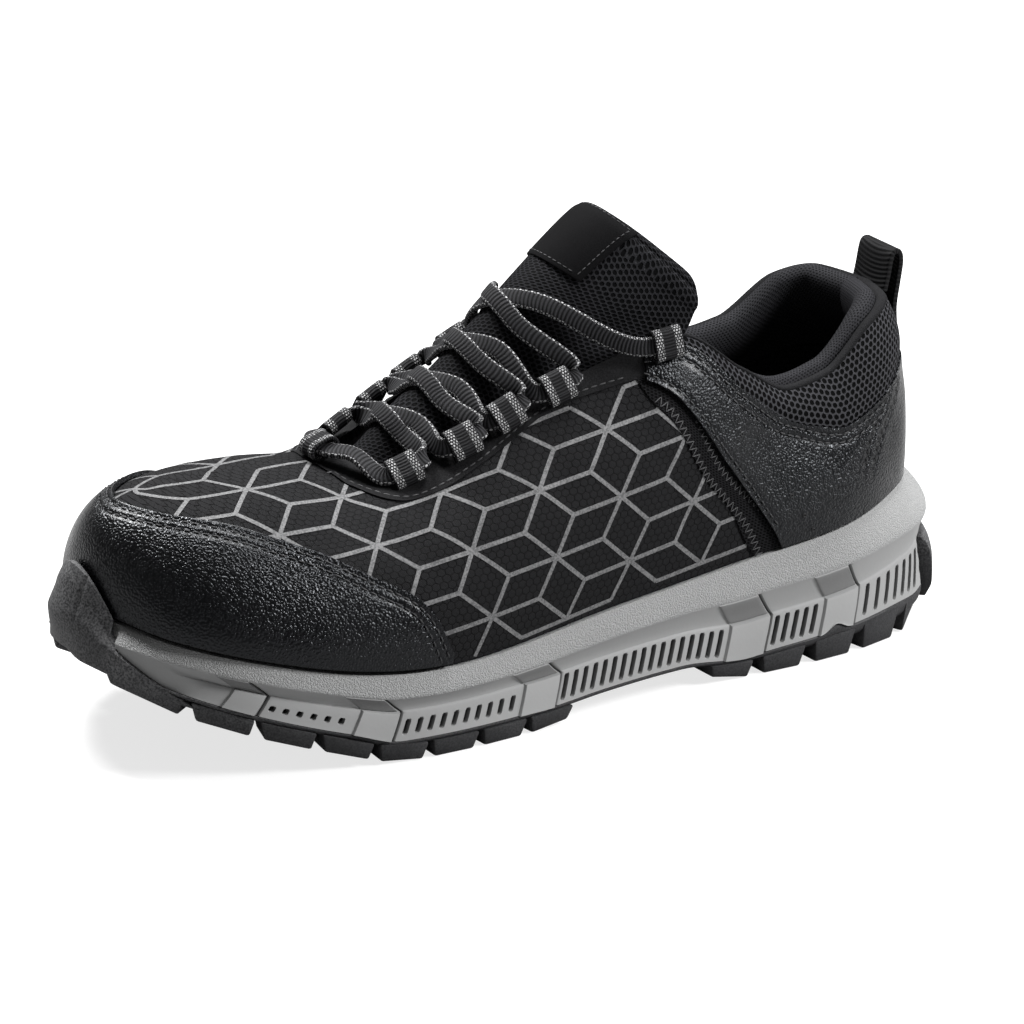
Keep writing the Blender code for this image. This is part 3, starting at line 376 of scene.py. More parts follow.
@dataclass
class Last:
    """The form that the upper is pulled over: section number r around it, share v up its wall."""

    wall: float = 2.2
    creases: tuple[Crease, ...] = CREASES
    step: float = 0.02

    def __post_init__(self) -> None:
        """Make the curves around the shoe."""
        self.sole_x = SmoothRing(self._ring([row.x for row in SOLE]))
        self.sole_y = SmoothRing(self._ring([row.lateral for row in SOLE], [row.medial for row in SOLE]))
        self.feather_z = SmoothRing(self._ring([row.feather for row in SOLE]))
        self.curves = {
            name: SteadyRing(self._ring([getattr(row, name) for row in UPPER])) for name in Profile._fields
        }
        self.troughs = [
            (self.point(*crease.start), self.point(*crease.end), crease.width, crease.depth)
            for crease in self.creases
        ]

    @staticmethod
    def _ring(lateral: Sequence[float], medial: Sequence[float] | None = None) -> Array:
        """Values around the shoe from those of its two sides, alike if only one is given."""
        inner = lateral if medial is None else medial
        return np.concatenate([np.asarray(lateral, float), np.asarray(inner, float)[-2:0:-1]])

    def pace(self, r: Array) -> Array:
        """Millimetres along the sole outline for one section number."""
        return np.hypot(self.sole_x.slope(r), self.sole_y.slope(r))

    def outward(self, r: Array) -> Array:
        """Plan direction out of the shoe."""
        run = unit(np.stack([self.sole_x.slope(r), self.sole_y.slope(r)], -1))
        return np.stack([-run[..., 1], run[..., 0], np.zeros(run.shape[:-1])], -1)

    def outline(self, r: Array, out: Array) -> Array:
        """Plan outline of the sole moved outward, with z at zero."""
        flat = np.stack([self.sole_x(r), self.sole_y(r), np.zeros(np.shape(r))], -1)
        return flat + self.outward(r) * np.asarray(out, float)[..., None]

    def inset(self, r: Array) -> Array:
        """Inset of the feather line from the sole outline."""
        return self.curves["inset"](r)

    @staticmethod
    def hand(r: Array) -> Array:
        """1 on the outer side and -1 on the inner one."""
        return np.where(np.mod(r, RING) <= LAST, 1.0, -1.0)

    def inward(self, r: Array) -> Array:
        """Direction in which the wall arrives at its top edge."""
        turn = np.radians(self.curves["turn"](r))
        rise = np.radians(self.curves["rise"](r))
        flat = np.cos(rise)
        return np.stack([-np.sin(turn) * flat, -self.hand(r) * np.cos(turn) * flat, np.sin(rise)], -1)

    def top_edge(self, r: Array) -> Array:
        """Points of the collar, throat or vamp ridge."""
        y = self.curves["crown"](r) + self.hand(r) * self.curves["top_y"](r)
        return np.stack([self.curves["top_x"](r), y, self.curves["top_z"](r)], -1)

    def point(self, r: Array, v: Array) -> Array:
        """Smooth outer face of the upper, before creases.

        Args:
            r: section numbers.
            v: shares up the wall.

        Returns:
            Points in millimetres from the heel.
        """
        r, v = np.broadcast_arrays(np.asarray(r, float), np.asarray(v, float))
        start = self.outline(r, -self.inset(r)) + UPWARD * self.feather_z(r)[..., None]
        end = self.top_edge(r)
        lean = np.radians(self.curves["lean"](r))[..., None]
        leave = self.outward(r) * np.sin(lean) + UPWARD * np.cos(lean)
        low = start + leave * self.curves["foot_pull"](r)[..., None]
        high = end - self.inward(r) * self.curves["top_pull"](r)[..., None]
        v = v[..., None]
        w = 1.0 - v
        return start * w ** 3 + low * (3.0 * w * w * v) + high * (3.0 * w * v * v) + end * v ** 3

    def normal(self, r: Array, v: Array) -> Array:
        """Direction out of the upper."""
        r, v = np.broadcast_arrays(np.asarray(r, float), np.asarray(v, float))
        v = np.clip(v, self.step, 1.0 - self.step)
        along = self.point(r + self.step, v) - self.point(r - self.step, v)
        return unit(np.cross(self.point(r, v + self.step) - self.point(r, v - self.step), along))

    def sink(self, points: Array) -> Array:
        """Depth of the creases at points on the upper."""
        depth = np.zeros(points.shape[:-1])
        for start, end, width, deep in self.troughs:
            run = end - start
            share = np.clip((points - start) @ run / (run @ run), 0.0, 1.0)
            gap = np.linalg.norm(points - start - share[..., None] * run, axis=-1)
            depth += deep * np.exp(-(gap / width) ** 2)
        return depth

    def over(self, r: Array, v: Array, out: Array) -> Array:
        """Points at a height over the creased outer face.

        Args:
            r: section numbers.
            v: shares up the wall.
            out: heights over the face.

        Returns:
            Points in millimetres from the heel.
        """
        base = self.point(r, v)
        lift = np.asarray(out, float) - self.sink(base) * (1.0 - ease(np.asarray(v, float), 0.9, 0.985))
        return base + self.normal(r, v) * lift[..., None]


class Development:
    """Flat cloth of the vamp: distance along the shoe, and girth up from the sole over the top and down."""

    STEPS = 121
    FIRST_SECTION = 1.5
    THROAT_END = 10.0

    def __init__(self, last: Last) -> None:
        """Slice the wall of the last at many shares."""
        self.last = last
        self.shares = np.linspace(0.0, 1.0, self.STEPS)
        self.sections = np.linspace(self.FIRST_SECTION, LAST, 1151)
        self.reach = {}
        for side in Side:
            self.reach[side] = last.point(side.around(self.sections)[:, None], self.shares[None, :])[..., 0]

    def slices(self, side: Side, x: Array) -> tuple[Array, Array]:
        """Section numbers and girths up the wall at places along the shoe.

        Args:
            side: which half of the shoe.
            x: distances from the heel.

        Returns:
            Section numbers and girths, a row for each x.
        """
        reach = self.reach[side]
        r = np.stack([np.interp(x, reach[:, k], self.sections) for k in range(self.STEPS)], -1)
        ring = side.around(r)
        points = self.last.point(ring, np.broadcast_to(self.shares, r.shape))
        steps = np.linalg.norm(np.diff(points, axis=1), axis=-1)
        steps[reach[-1][None, 1:] < x[:, None]] = 0.0
        girth = np.concatenate([np.zeros((len(x), 1)), np.cumsum(steps, axis=1)], axis=1)
        return ring, girth + points[:, :1, 2]

    def to_wall(self, flat: Array) -> tuple[Array, Array]:
        """Section numbers and shares of points of the flat cloth.

        Args:
            flat: points as distance along and girth.

        Returns:
            Section numbers, and shares that are below 0 where the cloth doesn't reach.
        """
        x, height = flat[:, 0], flat[:, 1]
        ring, girth = self.slices(Side.LATERAL, x)
        half_gap = np.abs(self.last.top_edge(ring[:, -1])[:, 1])
        half_gap = np.where(ring[:, -1] < self.THROAT_END, half_gap, 0.0)
        ridge = girth[:, -1] + half_gap
        far_ring, far_girth = self.slices(Side.MEDIAL, x)
        far_ridge = far_girth[:, -1] + half_gap
        r = np.zeros(len(x))
        v = np.full(len(x), -1.0)
        for k in range(len(x)):
            near = height[k] <= ridge[k]
            level = height[k] if near else far_ridge[k] - (height[k] - ridge[k])
            rows, lines = (girth, ring) if near else (far_girth, far_ring)
            if rows[k, 0] <= level <= rows[k, -1]:
                v[k] = np.interp(level, rows[k], self.shares)
                r[k] = np.interp(v[k], self.shares, lines[k])
        return r, v


class Bench:
    """Modelling steps, each by an operator on one piece alone."""

    @staticmethod
    def take(item: Item) -> None:
        """Select one piece alone and make it active."""
        bpy.ops.object.select_all(action="DESELECT")
        item.select_set(True)
        bpy.context.view_layer.objects.active = item

    @staticmethod
    def start(add: Callable[..., set[str]], **sizes: float) -> Item:
        """New primitive by its operator and sizes, with nothing else selected."""
        bpy.ops.object.select_all(action="DESELECT")
        add(**sizes)
        return bpy.context.active_object

    @staticmethod
    def place(name: str, data: bpy.types.ID) -> Item:
        """New object in the scene from its mesh, camera or light."""
        item = bpy.data.objects.new(name, data)
        bpy.context.scene.collection.objects.link(item)
        return item

    @classmethod
    def gather(cls, name: str, points: Array, faces: Sequence[tuple[int, ...]]) -> Item:
        """One piece of many small faces, from points in metres and the numbers of each face's corners."""
        mesh = bpy.data.meshes.new(name)
        mesh.from_pydata(points, [], faces)
        return cls.place(name, mesh)

    @staticmethod
    def lengths(points: Array) -> Array:
        """Chart of a grid of points in its own lengths, along the second and the first direction."""
        up = travel(points)
        along = travel(points[len(points) // 2])
        return np.stack([np.broadcast_to(along, up.shape), up], -1)

    @classmethod
    def sheet(
        cls, name: str, surface: Surface, first: Array, second: Array, chart: Surface | None = None
    ) -> Item:
        """Grid laid over a surface, its faces turned to first cross second.

        Args:
            name: name of the piece.
            surface: gives points in millimetres for grids of the two values.
            first, second: values of the grid lines.
            chart: gives the flat place in millimetres, or the sheet's own lengths if left out.

        Returns:
            The new piece, with its UV map in metres.
        """
        rows = len(first) - 1
        columns = len(second) - 1
        item = cls.start(
            bpy.ops.mesh.primitive_grid_add, x_subdivisions=rows, y_subdivisions=columns, size=2.0
        )
        item.name = name
        item.data.name = name
        flat = cls.corners(item)
        i = np.rint((flat[:, 0] + 1.0) / 2.0 * rows).astype(int)
        j = np.rint((flat[:, 1] + 1.0) / 2.0 * columns).astype(int)
        grid = np.meshgrid(np.asarray(first, float), np.asarray(second, float), indexing="ij")
        points = surface(*grid)
        item.data.vertices.foreach_set("co", to_frame(points[i, j]).ravel())
        place = cls.lengths(points) if chart is None else chart(*grid)
        cls.lay_uv(item, place[i, j] * MM)
        item.data.update()
        return item

    @staticmethod
    def corners(item: Item) -> Array:
        """Places of a piece's vertices."""
        flat = np.empty(3 * len(item.data.vertices))
        item.data.vertices.foreach_get("co", flat)
        return flat.reshape(-1, 3)

    @staticmethod
    def lay_uv(item: Item, place: Array) -> None:
        """Write the flat place of each vertex into the UV map."""
        mesh = item.data
        layer = mesh.uv_layers.active or mesh.uv_layers.new(name="UVMap")
        corner = np.empty(len(mesh.loops), dtype=np.int32)
        mesh.loops.foreach_get("vertex_index", corner)
        layer.uv.foreach_set("vector", np.ascontiguousarray(place[corner], dtype=np.float32).ravel())

    @staticmethod
    def mark(item: Item, name: str, values: Array) -> None:
        """Write a number for each vertex of a sheet, from a grid, which a finish reads by its name."""
        layer = item.data.attributes.new(name, "FLOAT", "POINT")
        layer.data.foreach_set("value", np.asarray(values.T, dtype=np.float32).ravel())

    @classmethod
    def weld(cls, item: Item, reach: float = 0.002) -> None:
        """Merge the vertices that meet, within a reach in millimetres."""
        cls.take(item)
        bpy.ops.object.mode_set(mode="EDIT")
        bpy.ops.mesh.select_all(action="SELECT")
        bpy.ops.mesh.remove_doubles(threshold=reach * MM)
        bpy.ops.object.mode_set(mode="OBJECT")

    @classmethod
    def close_ends(cls, item: Item) -> None:
        """Fill the open ends of a tube and turn all faces outward."""
        cls.take(item)
        bpy.ops.object.mode_set(mode="EDIT")
        bpy.ops.mesh.select_all(action="SELECT")
        bpy.ops.mesh.fill_holes(sides=0)
        bpy.ops.mesh.select_all(action="SELECT")
        bpy.ops.mesh.normals_make_consistent(inside=False)
        bpy.ops.object.mode_set(mode="OBJECT")

    @classmethod
    def apply(cls, item: Item, kind: str, **settings: float | str | bool) -> None:
        """Add a modifier with its settings and apply it."""
        cls.take(item)
        modifier = item.modifiers.new(kind.title(), kind)
        for name, value in settings.items():
            setattr(modifier, name, value)
        bpy.ops.object.modifier_apply(modifier=modifier.name)

    @classmethod
    def thicken(cls, item: Item, thickness: float) -> None:
        """Give a sheet its thickness, inward from its outer face."""
        cls.apply(item, "SOLIDIFY", thickness=thickness * MM, offset=-1.0, use_even_offset=True)

    @classmethod
    def soften(cls, item: Item, width: float) -> None:
        """Round the sharp edges of a piece."""
        settings = {"width": width * MM, "segments": 2, "limit_method": "ANGLE"}
        cls.apply(item, "BEVEL", angle_limit=math.radians(50.0), use_clamp_overlap=True, **settings)

    @classmethod
    def smooth(cls, item: Item, angle: float = 38.0) -> None:
        """Shade smooth except across sharp edges."""
        cls.take(item)
        bpy.ops.object.shade_smooth_by_angle(angle=math.radians(angle))

    @classmethod
    def finish(cls, item: Item, thick: float = 0.0, soft: float = 0.0, angle: float = 38.0) -> Item:
        """Weld a sheet, give it a wall or close its ends, round its edges and shade it smooth.

        Args:
            item: sheet or tube.
            thick: thickness of a sheet's wall, or 0 for a tube that is closed at its ends.
            soft: width of the rounded edges, or 0 for none.
            angle: edges sharper than this, in degrees, stay sharp.

        Returns:
            The same piece.
        """
        cls.weld(item)
        if thick:
            cls.thicken(item, thick)
        else:
            cls.close_ends(item)
        if soft:
            cls.soften(item, soft)
        cls.smooth(item, angle)
        return item

    @classmethod
    def join(cls, name: str, items: Sequence[Item]) -> Item:
        """Join pieces into the first and rename it."""
        cls.take(items[0])
        for item in items[1:]:
            item.select_set(True)
        bpy.ops.object.join()
        items[0].name = name
        items[0].data.name = name
        return items[0]

    @classmethod
    def copies(cls, name: str, pattern: Item, places: Array, turns: Array) -> Item:
        """One mesh made of many turned copies of a small pattern, which is used up.

        Args:
            name: name of the new piece.
            pattern: piece whose mesh is copied, in metres about the origin.
            places: middle of each copy in millimetres.
            turns: three rows for each copy, the directions of the pattern's own axes.

        Returns:
            The new piece.
        """
        base = cls.corners(pattern)
        faces = [tuple(face.vertices) for face in pattern.data.polygons]
        points = np.einsum("vi,kij->kvj", base, turns) + to_frame(places)[:, None, :]
        many = [tuple(k * len(base) + v for v in face) for k in range(len(places)) for face in faces]
        item = cls.gather(name, points.reshape(-1, 3), many)
        bpy.data.objects.remove(pattern, do_unlink=True)
        cls.smooth(item)
        return item


def hand_over(item: Item, material: Material, nodes: Sequence[str] = ()) -> Item:
    """Dress a piece, let it ride on the shoe and hide the solids it stands for.

    Args:
        item: finished piece.
        material: its finish.
        nodes: solids that it replaces.

    Returns:
        The same piece.
    """
    item.data.materials.clear()
    item.data.materials.append(material)
    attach(item, BODY)
    if nodes:
        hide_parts(*nodes)
    item.data.calc_loop_triangles()
    log.info("%s: %d triangles", item.name, len(item.data.loop_triangles))
    return item


class Palette:
    """Short ways to lay and wire the nodes of one finish."""

    def __init__(self, name: str, **values: Feed) -> None:
        """Start a material and feed its shader, as set does."""
        self.material = bpy.data.materials.new(name)
        self.material.use_nodes = True
        self.tree = self.material.node_tree
        self.shader = self.tree.nodes["Principled BSDF"]
        coords = self.tree.nodes.new("ShaderNodeTexCoord")
        self.place = coords.outputs["Object"]
        self.flat = coords.outputs["UV"]
        self.set(**values)

    def feed(self, target: Socket, value: Feed) -> None:
        """Link a socket to an input, or set the input's own value, a colour with its alpha."""
        if isinstance(value, Socket):
            self.tree.links.new(value, target)
        elif target.type == "RGBA":
            target.default_value = (*value, 1.0)
        else:
            target.default_value = value

    def set(self, **values: Feed) -> None:
        """Feed inputs of the shader, named as its sockets with underscores."""
        for name, value in values.items():
            self.feed(self.shader.inputs[name.replace("_", " ")], value)

    def node(self, kind: str, inputs: dict[str | int, Feed], **settings: str) -> bpy.types.Node:
        """New shader node.

        Args:
            kind: its type, without the prefix.
            inputs: what is fed to its inputs, by their names or numbers.
            settings: its options.

        Returns:
            The node.
        """
        node = self.tree.nodes.new(f"ShaderNode{kind}")
        for name, value in settings.items():
            setattr(node, name, value)
        for name, value in inputs.items():
            self.feed(node.inputs[name], value)
        return node

    def math(self, operation: str, a: Feed, b: Feed = 0.0) -> Socket:
        """Result of a Math node."""
        return self.node("Math", {0: a, 1: b}, operation=operation).outputs[0]

    def times(self, a: Feed, b: Feed) -> Socket:
        """Product of two numbers."""
        return self.math("MULTIPLY", a, b)

    def vector(self, operation: str, *values: Feed) -> Socket:
        """Vector that a Vector Math node gives."""
        return self.node("VectorMath", dict(enumerate(values)), operation=operation).outputs["Vector"]

    def parts(self, vector: Socket) -> list[Socket]:
        """The x, y and z of a vector."""
        return list(self.node("SeparateXYZ", {0: vector}).outputs)

    def noise(self, coords: Socket, scale: float, detail: float = 2.0) -> Socket:
        """Noise from 0 to 1."""
        return self.node("TexNoise", {"Scale": scale, "Detail": detail, "Vector": coords}).outputs["Fac"]

    def cells(self, coords: Socket, scale: float) -> Socket:
        """Distance from the middle of irregular, softly joined cells."""
        inputs = {"Scale": scale, "Randomness": 1.0, "Vector": coords}
        return self.node("TexVoronoi", inputs, feature="SMOOTH_F1").outputs["Distance"]

    def attribute(self, name: str) -> Socket:
        """Number that the piece carries at its vertices."""
        return self.node("Attribute", {}, attribute_name=name).outputs["Fac"]

    def between(
        self, value: Socket, low: float, high: float, start: float = 0.0, end: float = 1.0
    ) -> Socket:
        """Value moved smoothly from the range low to high to the range start to end, and held there."""
        inputs = {"Value": value, "From Min": low, "From Max": high, "To Min": start, "To Max": end}
        return self.node("MapRange", inputs, interpolation_type="SMOOTHSTEP").outputs["Result"]

    def blend(self, share: Socket, first: Feed, second: Feed) -> Socket:
        """Colour between two colours."""
        return self.node("Mix", {"Factor": share, 6: first, 7: second}, data_type="RGBA").outputs[2]

    def honeycomb(self, coords: Socket, pitch: float, stretch: float = 1.0) -> tuple[Socket, Socket]:
        """Regular honeycomb on a flat chart.

        Args:
            coords: flat coordinates in metres.
            pitch: distance between neighbouring cells in metres.
            stretch: length of a cell along the second direction against its regular length.

        Returns:
            Distance from the middle of the cell in pitches, and place in the cell from 0 in its middle to
            0.5 at its side.
        """
        x, y, _ = self.parts(coords)
        across = self.math("DIVIDE", x, pitch)
        along = self.math("DIVIDE", y, pitch * stretch)
        spot = self.node("CombineXYZ", {0: across, 1: along}).outputs[0]
        tall = 0.5 * math.sqrt(3.0)
        half = (0.5, tall, 1.0)
        low = tuple(-value for value in half)
        reach = []
        side = []
        for start in (spot, self.vector("ADD", spot, half)):
            a, b, _ = self.parts(self.vector("ABSOLUTE", self.vector("WRAP", start, half, low)))
            slant = self.math("ADD", self.times(a, 0.5), self.times(b, tall))
            side.append(self.math("MAXIMUM", a, slant))
            reach.append(self.math("SQRT", self.math("ADD", self.times(a, a), self.times(b, b))))
        return self.math("MINIMUM", *reach), self.math("MINIMUM", *side)

    def dress(self, colour: Feed, *layers: tuple[Socket, float]) -> Material:
        """Set the base colour and stack bumps.

        Args:
            colour: base colour.
            layers: heights from 0 to 1, each with its depth in millimetres.

        Returns:
            The finished material.
        """
        normal: dict[str, Feed] = {}
        for height, depth in layers:
            inputs = {"Strength": 1.0, "Distance": depth * MM, "Height": height}
            normal = {"Normal": self.node("Bump", inputs | normal).outputs["Normal"]}
        self.set(Base_Color=colour, **normal)
        return self.material


@dataclass(frozen=True)
class PebbledLeather:
    """Coated charcoal leather with a pebble grain and shiny pebble tops."""

    name: str = "pebbled_leather"
    low: Colour = (0.001, 0.001, 0.0012)
    high: Colour = (0.005, 0.0051, 0.0058)
    tint: Colour = (0.9, 0.94, 1.0)
    pebble: float = 0.7
    depth: float = 0.21

    def make(self) -> Material:
        """Lay the nodes and give the material."""
        mix = Palette(self.name, Specular_IOR_Level=0.2, Specular_Tint=self.tint)
        mix.set(Coat_Weight=0.09, Coat_Roughness=0.2)
        dome = mix.between(mix.cells(mix.place, 1000.0 / self.pebble), 0.05, 0.75, 1.0, 0.0)
        fine = mix.noise(mix.place, 2600.0, 3.0)
        wear = mix.noise(mix.place, 45.0, 3.0)
        mix.set(Roughness=mix.between(wear, 0.3, 0.7, 0.22, 0.34))
        return mix.dress(mix.blend(dome, self.low, self.high), (dome, self.depth), (fine, 0.04))


@dataclass(frozen=True)
class PrintedCloth:
    """Black woven cloth with a faint honeycomb weave."""

    name: str = "woven_cloth"
    low: Colour = (0.0015, 0.0015, 0.0018)
    high: Colour = (0.012, 0.012, 0.0132)
    cell: float = 2.7
    thread: float = 0.5

    def make(self) -> Material:
        """Lay the nodes and give the material."""
        mix = Palette(self.name, Roughness=0.8, Specular_IOR_Level=0.12)
        _, side = mix.honeycomb(mix.flat, self.cell * MM)
        groove = mix.between(side, 0.40, 0.49, 1.0, 0.0)
        knot, _ = mix.honeycomb(mix.flat, self.thread * MM)
        weave = mix.between(knot, 0.1, 0.5, 1.0, 0.0)
        share = mix.times(groove, mix.math("ADD", mix.times(weave, 0.6), 0.4))
        return mix.dress(mix.blend(share, self.low, self.high), (groove, 0.30), (weave, 0.12))


@dataclass(frozen=True)
class PrintFilm:
    """Grey printed lines, a little open over the weave."""

    name: str = "printed_lines"
    low: Colour = (0.075, 0.075, 0.077)
    high: Colour = (0.15, 0.15, 0.152)

    def make(self) -> Material:
        """Lay the nodes and give the material."""
        mix = Palette(self.name, Roughness=0.55, Specular_IOR_Level=0.2)
        grain = mix.noise(mix.place, 1500.0, 3.0)
        return mix.dress(mix.blend(mix.between(grain, 0.36, 0.62), self.low, self.high), (grain, 0.08))


@dataclass(frozen=True)
class PlainCloth:
    """Black microfibre or felted cloth with a short nap."""

    name: str = "black_microfibre"
    low: Colour = (0.002, 0.002, 0.0023)
    high: Colour = (0.011, 0.011, 0.012)
    grain: float = 0.45
    depth: float = 0.14
    shine: float = 0.1

    def make(self) -> Material:
        """Lay the nodes and give the material."""
        mix = Palette(self.name, Roughness=0.82, Specular_IOR_Level=self.shine)
        nap = mix.noise(mix.place, 1000.0 / self.grain, 4.0)
        cloud = mix.noise(mix.place, 90.0)
        share = mix.times(mix.between(nap, 0.3, 0.7), mix.between(cloud, 0.2, 0.8, 0.6, 1.0))
        return mix.dress(mix.blend(share, self.low, self.high), (nap, self.depth))


@dataclass(frozen=True)
class SpacerMesh:
    """Three-layer mesh with round open holes in staggered rows, the holes painted dark as painted shade and
    the ribs lighter, partly as a painted highlight.
    """

    name: str = "spacer_mesh"
    # hole colour: painted shade in the holes
    hole: Colour = (0.0006, 0.0006, 0.0007)
    rib: Colour = (0.030, 0.030, 0.033)
    pitch: float = 1.9
    stretch: float = 1.0
    size: float = 0.34
    depth: float = 0.55

    def make(self) -> Material:
        """Lay the nodes and give the material."""
        mix = Palette(self.name, Roughness=0.7, Specular_IOR_Level=0.035)
        reach, _ = mix.honeycomb(mix.flat, self.pitch * MM, self.stretch)
        solid = mix.between(reach, self.size - 0.10, self.size + 0.07)
        yarn = mix.noise(mix.flat, 4200.0)
        # painted shade in the holes against the lighter ribs, which are partly a painted highlight
        share = mix.times(solid, mix.between(yarn, 0.3, 0.7, 0.3, 1.0))
        return mix.dress(mix.blend(share, self.hole, self.rib), (solid, self.depth), (yarn, 0.07))


@dataclass(frozen=True)
class RibbedWebbing:
    """Woven tape with cross ribs, and light chain stitches in stripes near both sides where it has them."""

    name: str
    width: float
    stripe_middle: float = 0.0
    stripe_half: float = 0.0
    rib: float = 1.0
    low: Colour = (0.0015, 0.0015, 0.0018)
    high: Colour = (0.020, 0.020, 0.022)
    fleck: Colour = (0.42, 0.42, 0.425)
    blur: float = 0.12

    def make(self) -> Material:
        """Lay the nodes and give the material."""
        mix = Palette(self.name, Roughness=0.7, Specular_IOR_Level=0.12)
        across, along, _ = mix.parts(mix.flat)
        bow = mix.times(mix.times(across, across), 0.35 / (self.width * MM))
        phase = mix.times(mix.math("ADD", along, bow), FULL_TURN / (self.rib * MM))
        ribs = mix.math("ADD", mix.times(mix.math("SINE", phase), 0.5), 0.5)
        yarn = mix.noise(mix.flat, 3600.0)
        share = mix.times(ribs, mix.between(yarn, 0.3, 0.7, 0.6, 1.0))
        base = mix.blend(share, self.low, self.high)
        layers = [(ribs, 0.16), (yarn, 0.06)]
        if self.stripe_half:
            off = mix.math("SUBTRACT", mix.math("ABSOLUTE", across), self.stripe_middle * MM)
            near = (self.stripe_half - self.blur) * MM
            far = (self.stripe_half + self.blur) * MM
            inside = mix.between(mix.math("ABSOLUTE", off), near, far, 1.0, 0.0)
            reach, _ = mix.honeycomb(mix.flat, 0.90 * MM, 1.15)
            ragged = mix.between(mix.noise(mix.flat, 1500.0), 0.38, 0.55, 0.25, 1.0)
            dot = mix.times(mix.times(mix.between(reach, 0.24, 0.42, 1.0, 0.0), ragged), inside)
            base = mix.blend(dot, base, self.fleck)
            layers.append((dot, 0.18))
        return mix.dress(base, *layers)


@dataclass(frozen=True)
class Thread:
    """Sewing thread."""

    name: str
    colour: Colour
    roughness: float = 0.6

    def make(self) -> Material:
        """Lay the nodes and give the material."""
        mix = Palette(self.name, Roughness=self.roughness, Specular_IOR_Level=0.4)
        twist = mix.noise(mix.place, 3000.0)
        dark = tuple(0.5 * value for value in self.colour)
        return mix.dress(mix.blend(mix.between(twist, 0.35, 0.65), dark, self.colour), (twist, 0.06))


@dataclass(frozen=True)
class MouldedFoam:
    """Light grey moulded foam: stippled band, smooth faces, slots painted near black as painted shade, and
    plates painted darker as painted shade.
    """

    name: str = "moulded_foam"
    light: Colour = (0.30, 0.302, 0.302)
    dark: Colour = (0.21, 0.211, 0.211)
    face: Colour = (0.24, 0.2415, 0.2415)
    # plate colour: painted shade on the steeper block faces
    plate: Colour = (0.13, 0.1305, 0.1305)
    # slot colour: painted shade deep in the slots and in the shadow line behind each block
    slot: Colour = (0.003, 0.003, 0.0033)

    def make(self) -> Material:
        """Lay the nodes and give the material."""
        mix = Palette(self.name, Roughness=0.62, Specular_IOR_Level=0.35)
        stipple = mix.noise(mix.place, 2100.0, 3.0)
        cloud = mix.noise(mix.place, 28.0, 3.0)
        grain = mix.times(mix.between(stipple, 0.32, 0.68), mix.attribute("stipple"))
        base = mix.blend(mix.attribute("stipple"), self.face, self.light)
        base = mix.blend(mix.between(cloud, 0.3, 0.75, 0.0, 0.3), base, self.dark)
        base = mix.blend(mix.times(grain, 0.42), base, self.dark)
        # painted shade: darker plates, and near black slots and shadow lines
        base = mix.blend(mix.attribute("plate"), base, self.plate)
        base = mix.blend(mix.attribute("slot"), base, self.slot)
        return mix.dress(base, (grain, 0.22), (mix.noise(mix.place, 900.0), 0.03))


@dataclass(frozen=True)
class MouldedRubber:
    """Matt black rubber with a fine moulded grain, dusty on its edges, and darker towards the floor."""

    name: str = "moulded_rubber"
    low: Colour = (0.020, 0.020, 0.0215)
    high: Colour = (0.14, 0.14, 0.143)

    def make(self) -> Material:
        """Lay the nodes and give the material."""
        mix = Palette(self.name, Specular_IOR_Level=0.2)
        grain = mix.noise(mix.place, 1600.0, 3.0)
        dust = mix.noise(mix.place, 60.0, 4.0)
        share = mix.times(mix.between(grain, 0.3, 0.7), mix.between(dust, 0.3, 0.7, 0.45, 1.0))
        # darker towards the floor: colour scaled down below 32 millimetres of height
        darker_low = mix.between(mix.parts(mix.place)[2], 0.012, 0.032, 0.2, 1.0)
        mix.set(Roughness=mix.between(dust, 0.3, 0.7, 0.5, 0.68))
        return mix.dress(mix.blend(mix.times(share, darker_low), self.low, self.high), (grain, 0.07))


@dataclass(frozen=True)
class PaleFloor:
    """Plain pale studio floor, which the camera sees brighter than the light that it returns."""

    name: str = "pale_floor"
    colour: Colour = (0.3, 0.3, 0.3)
    glow: Colour = (1.0, 1.0, 1.0)
    strength: float = 0.75

    def make(self) -> Material:
        """Lay the nodes and give the material."""
        mix = Palette(self.name, Roughness=0.7, Specular_IOR_Level=0.1, Emission_Color=self.glow)
        seen = mix.node("LightPath", {}).outputs["Is Camera Ray"]
        mix.set(Emission_Strength=mix.times(seen, self.strength))
        return mix.dress(self.colour)


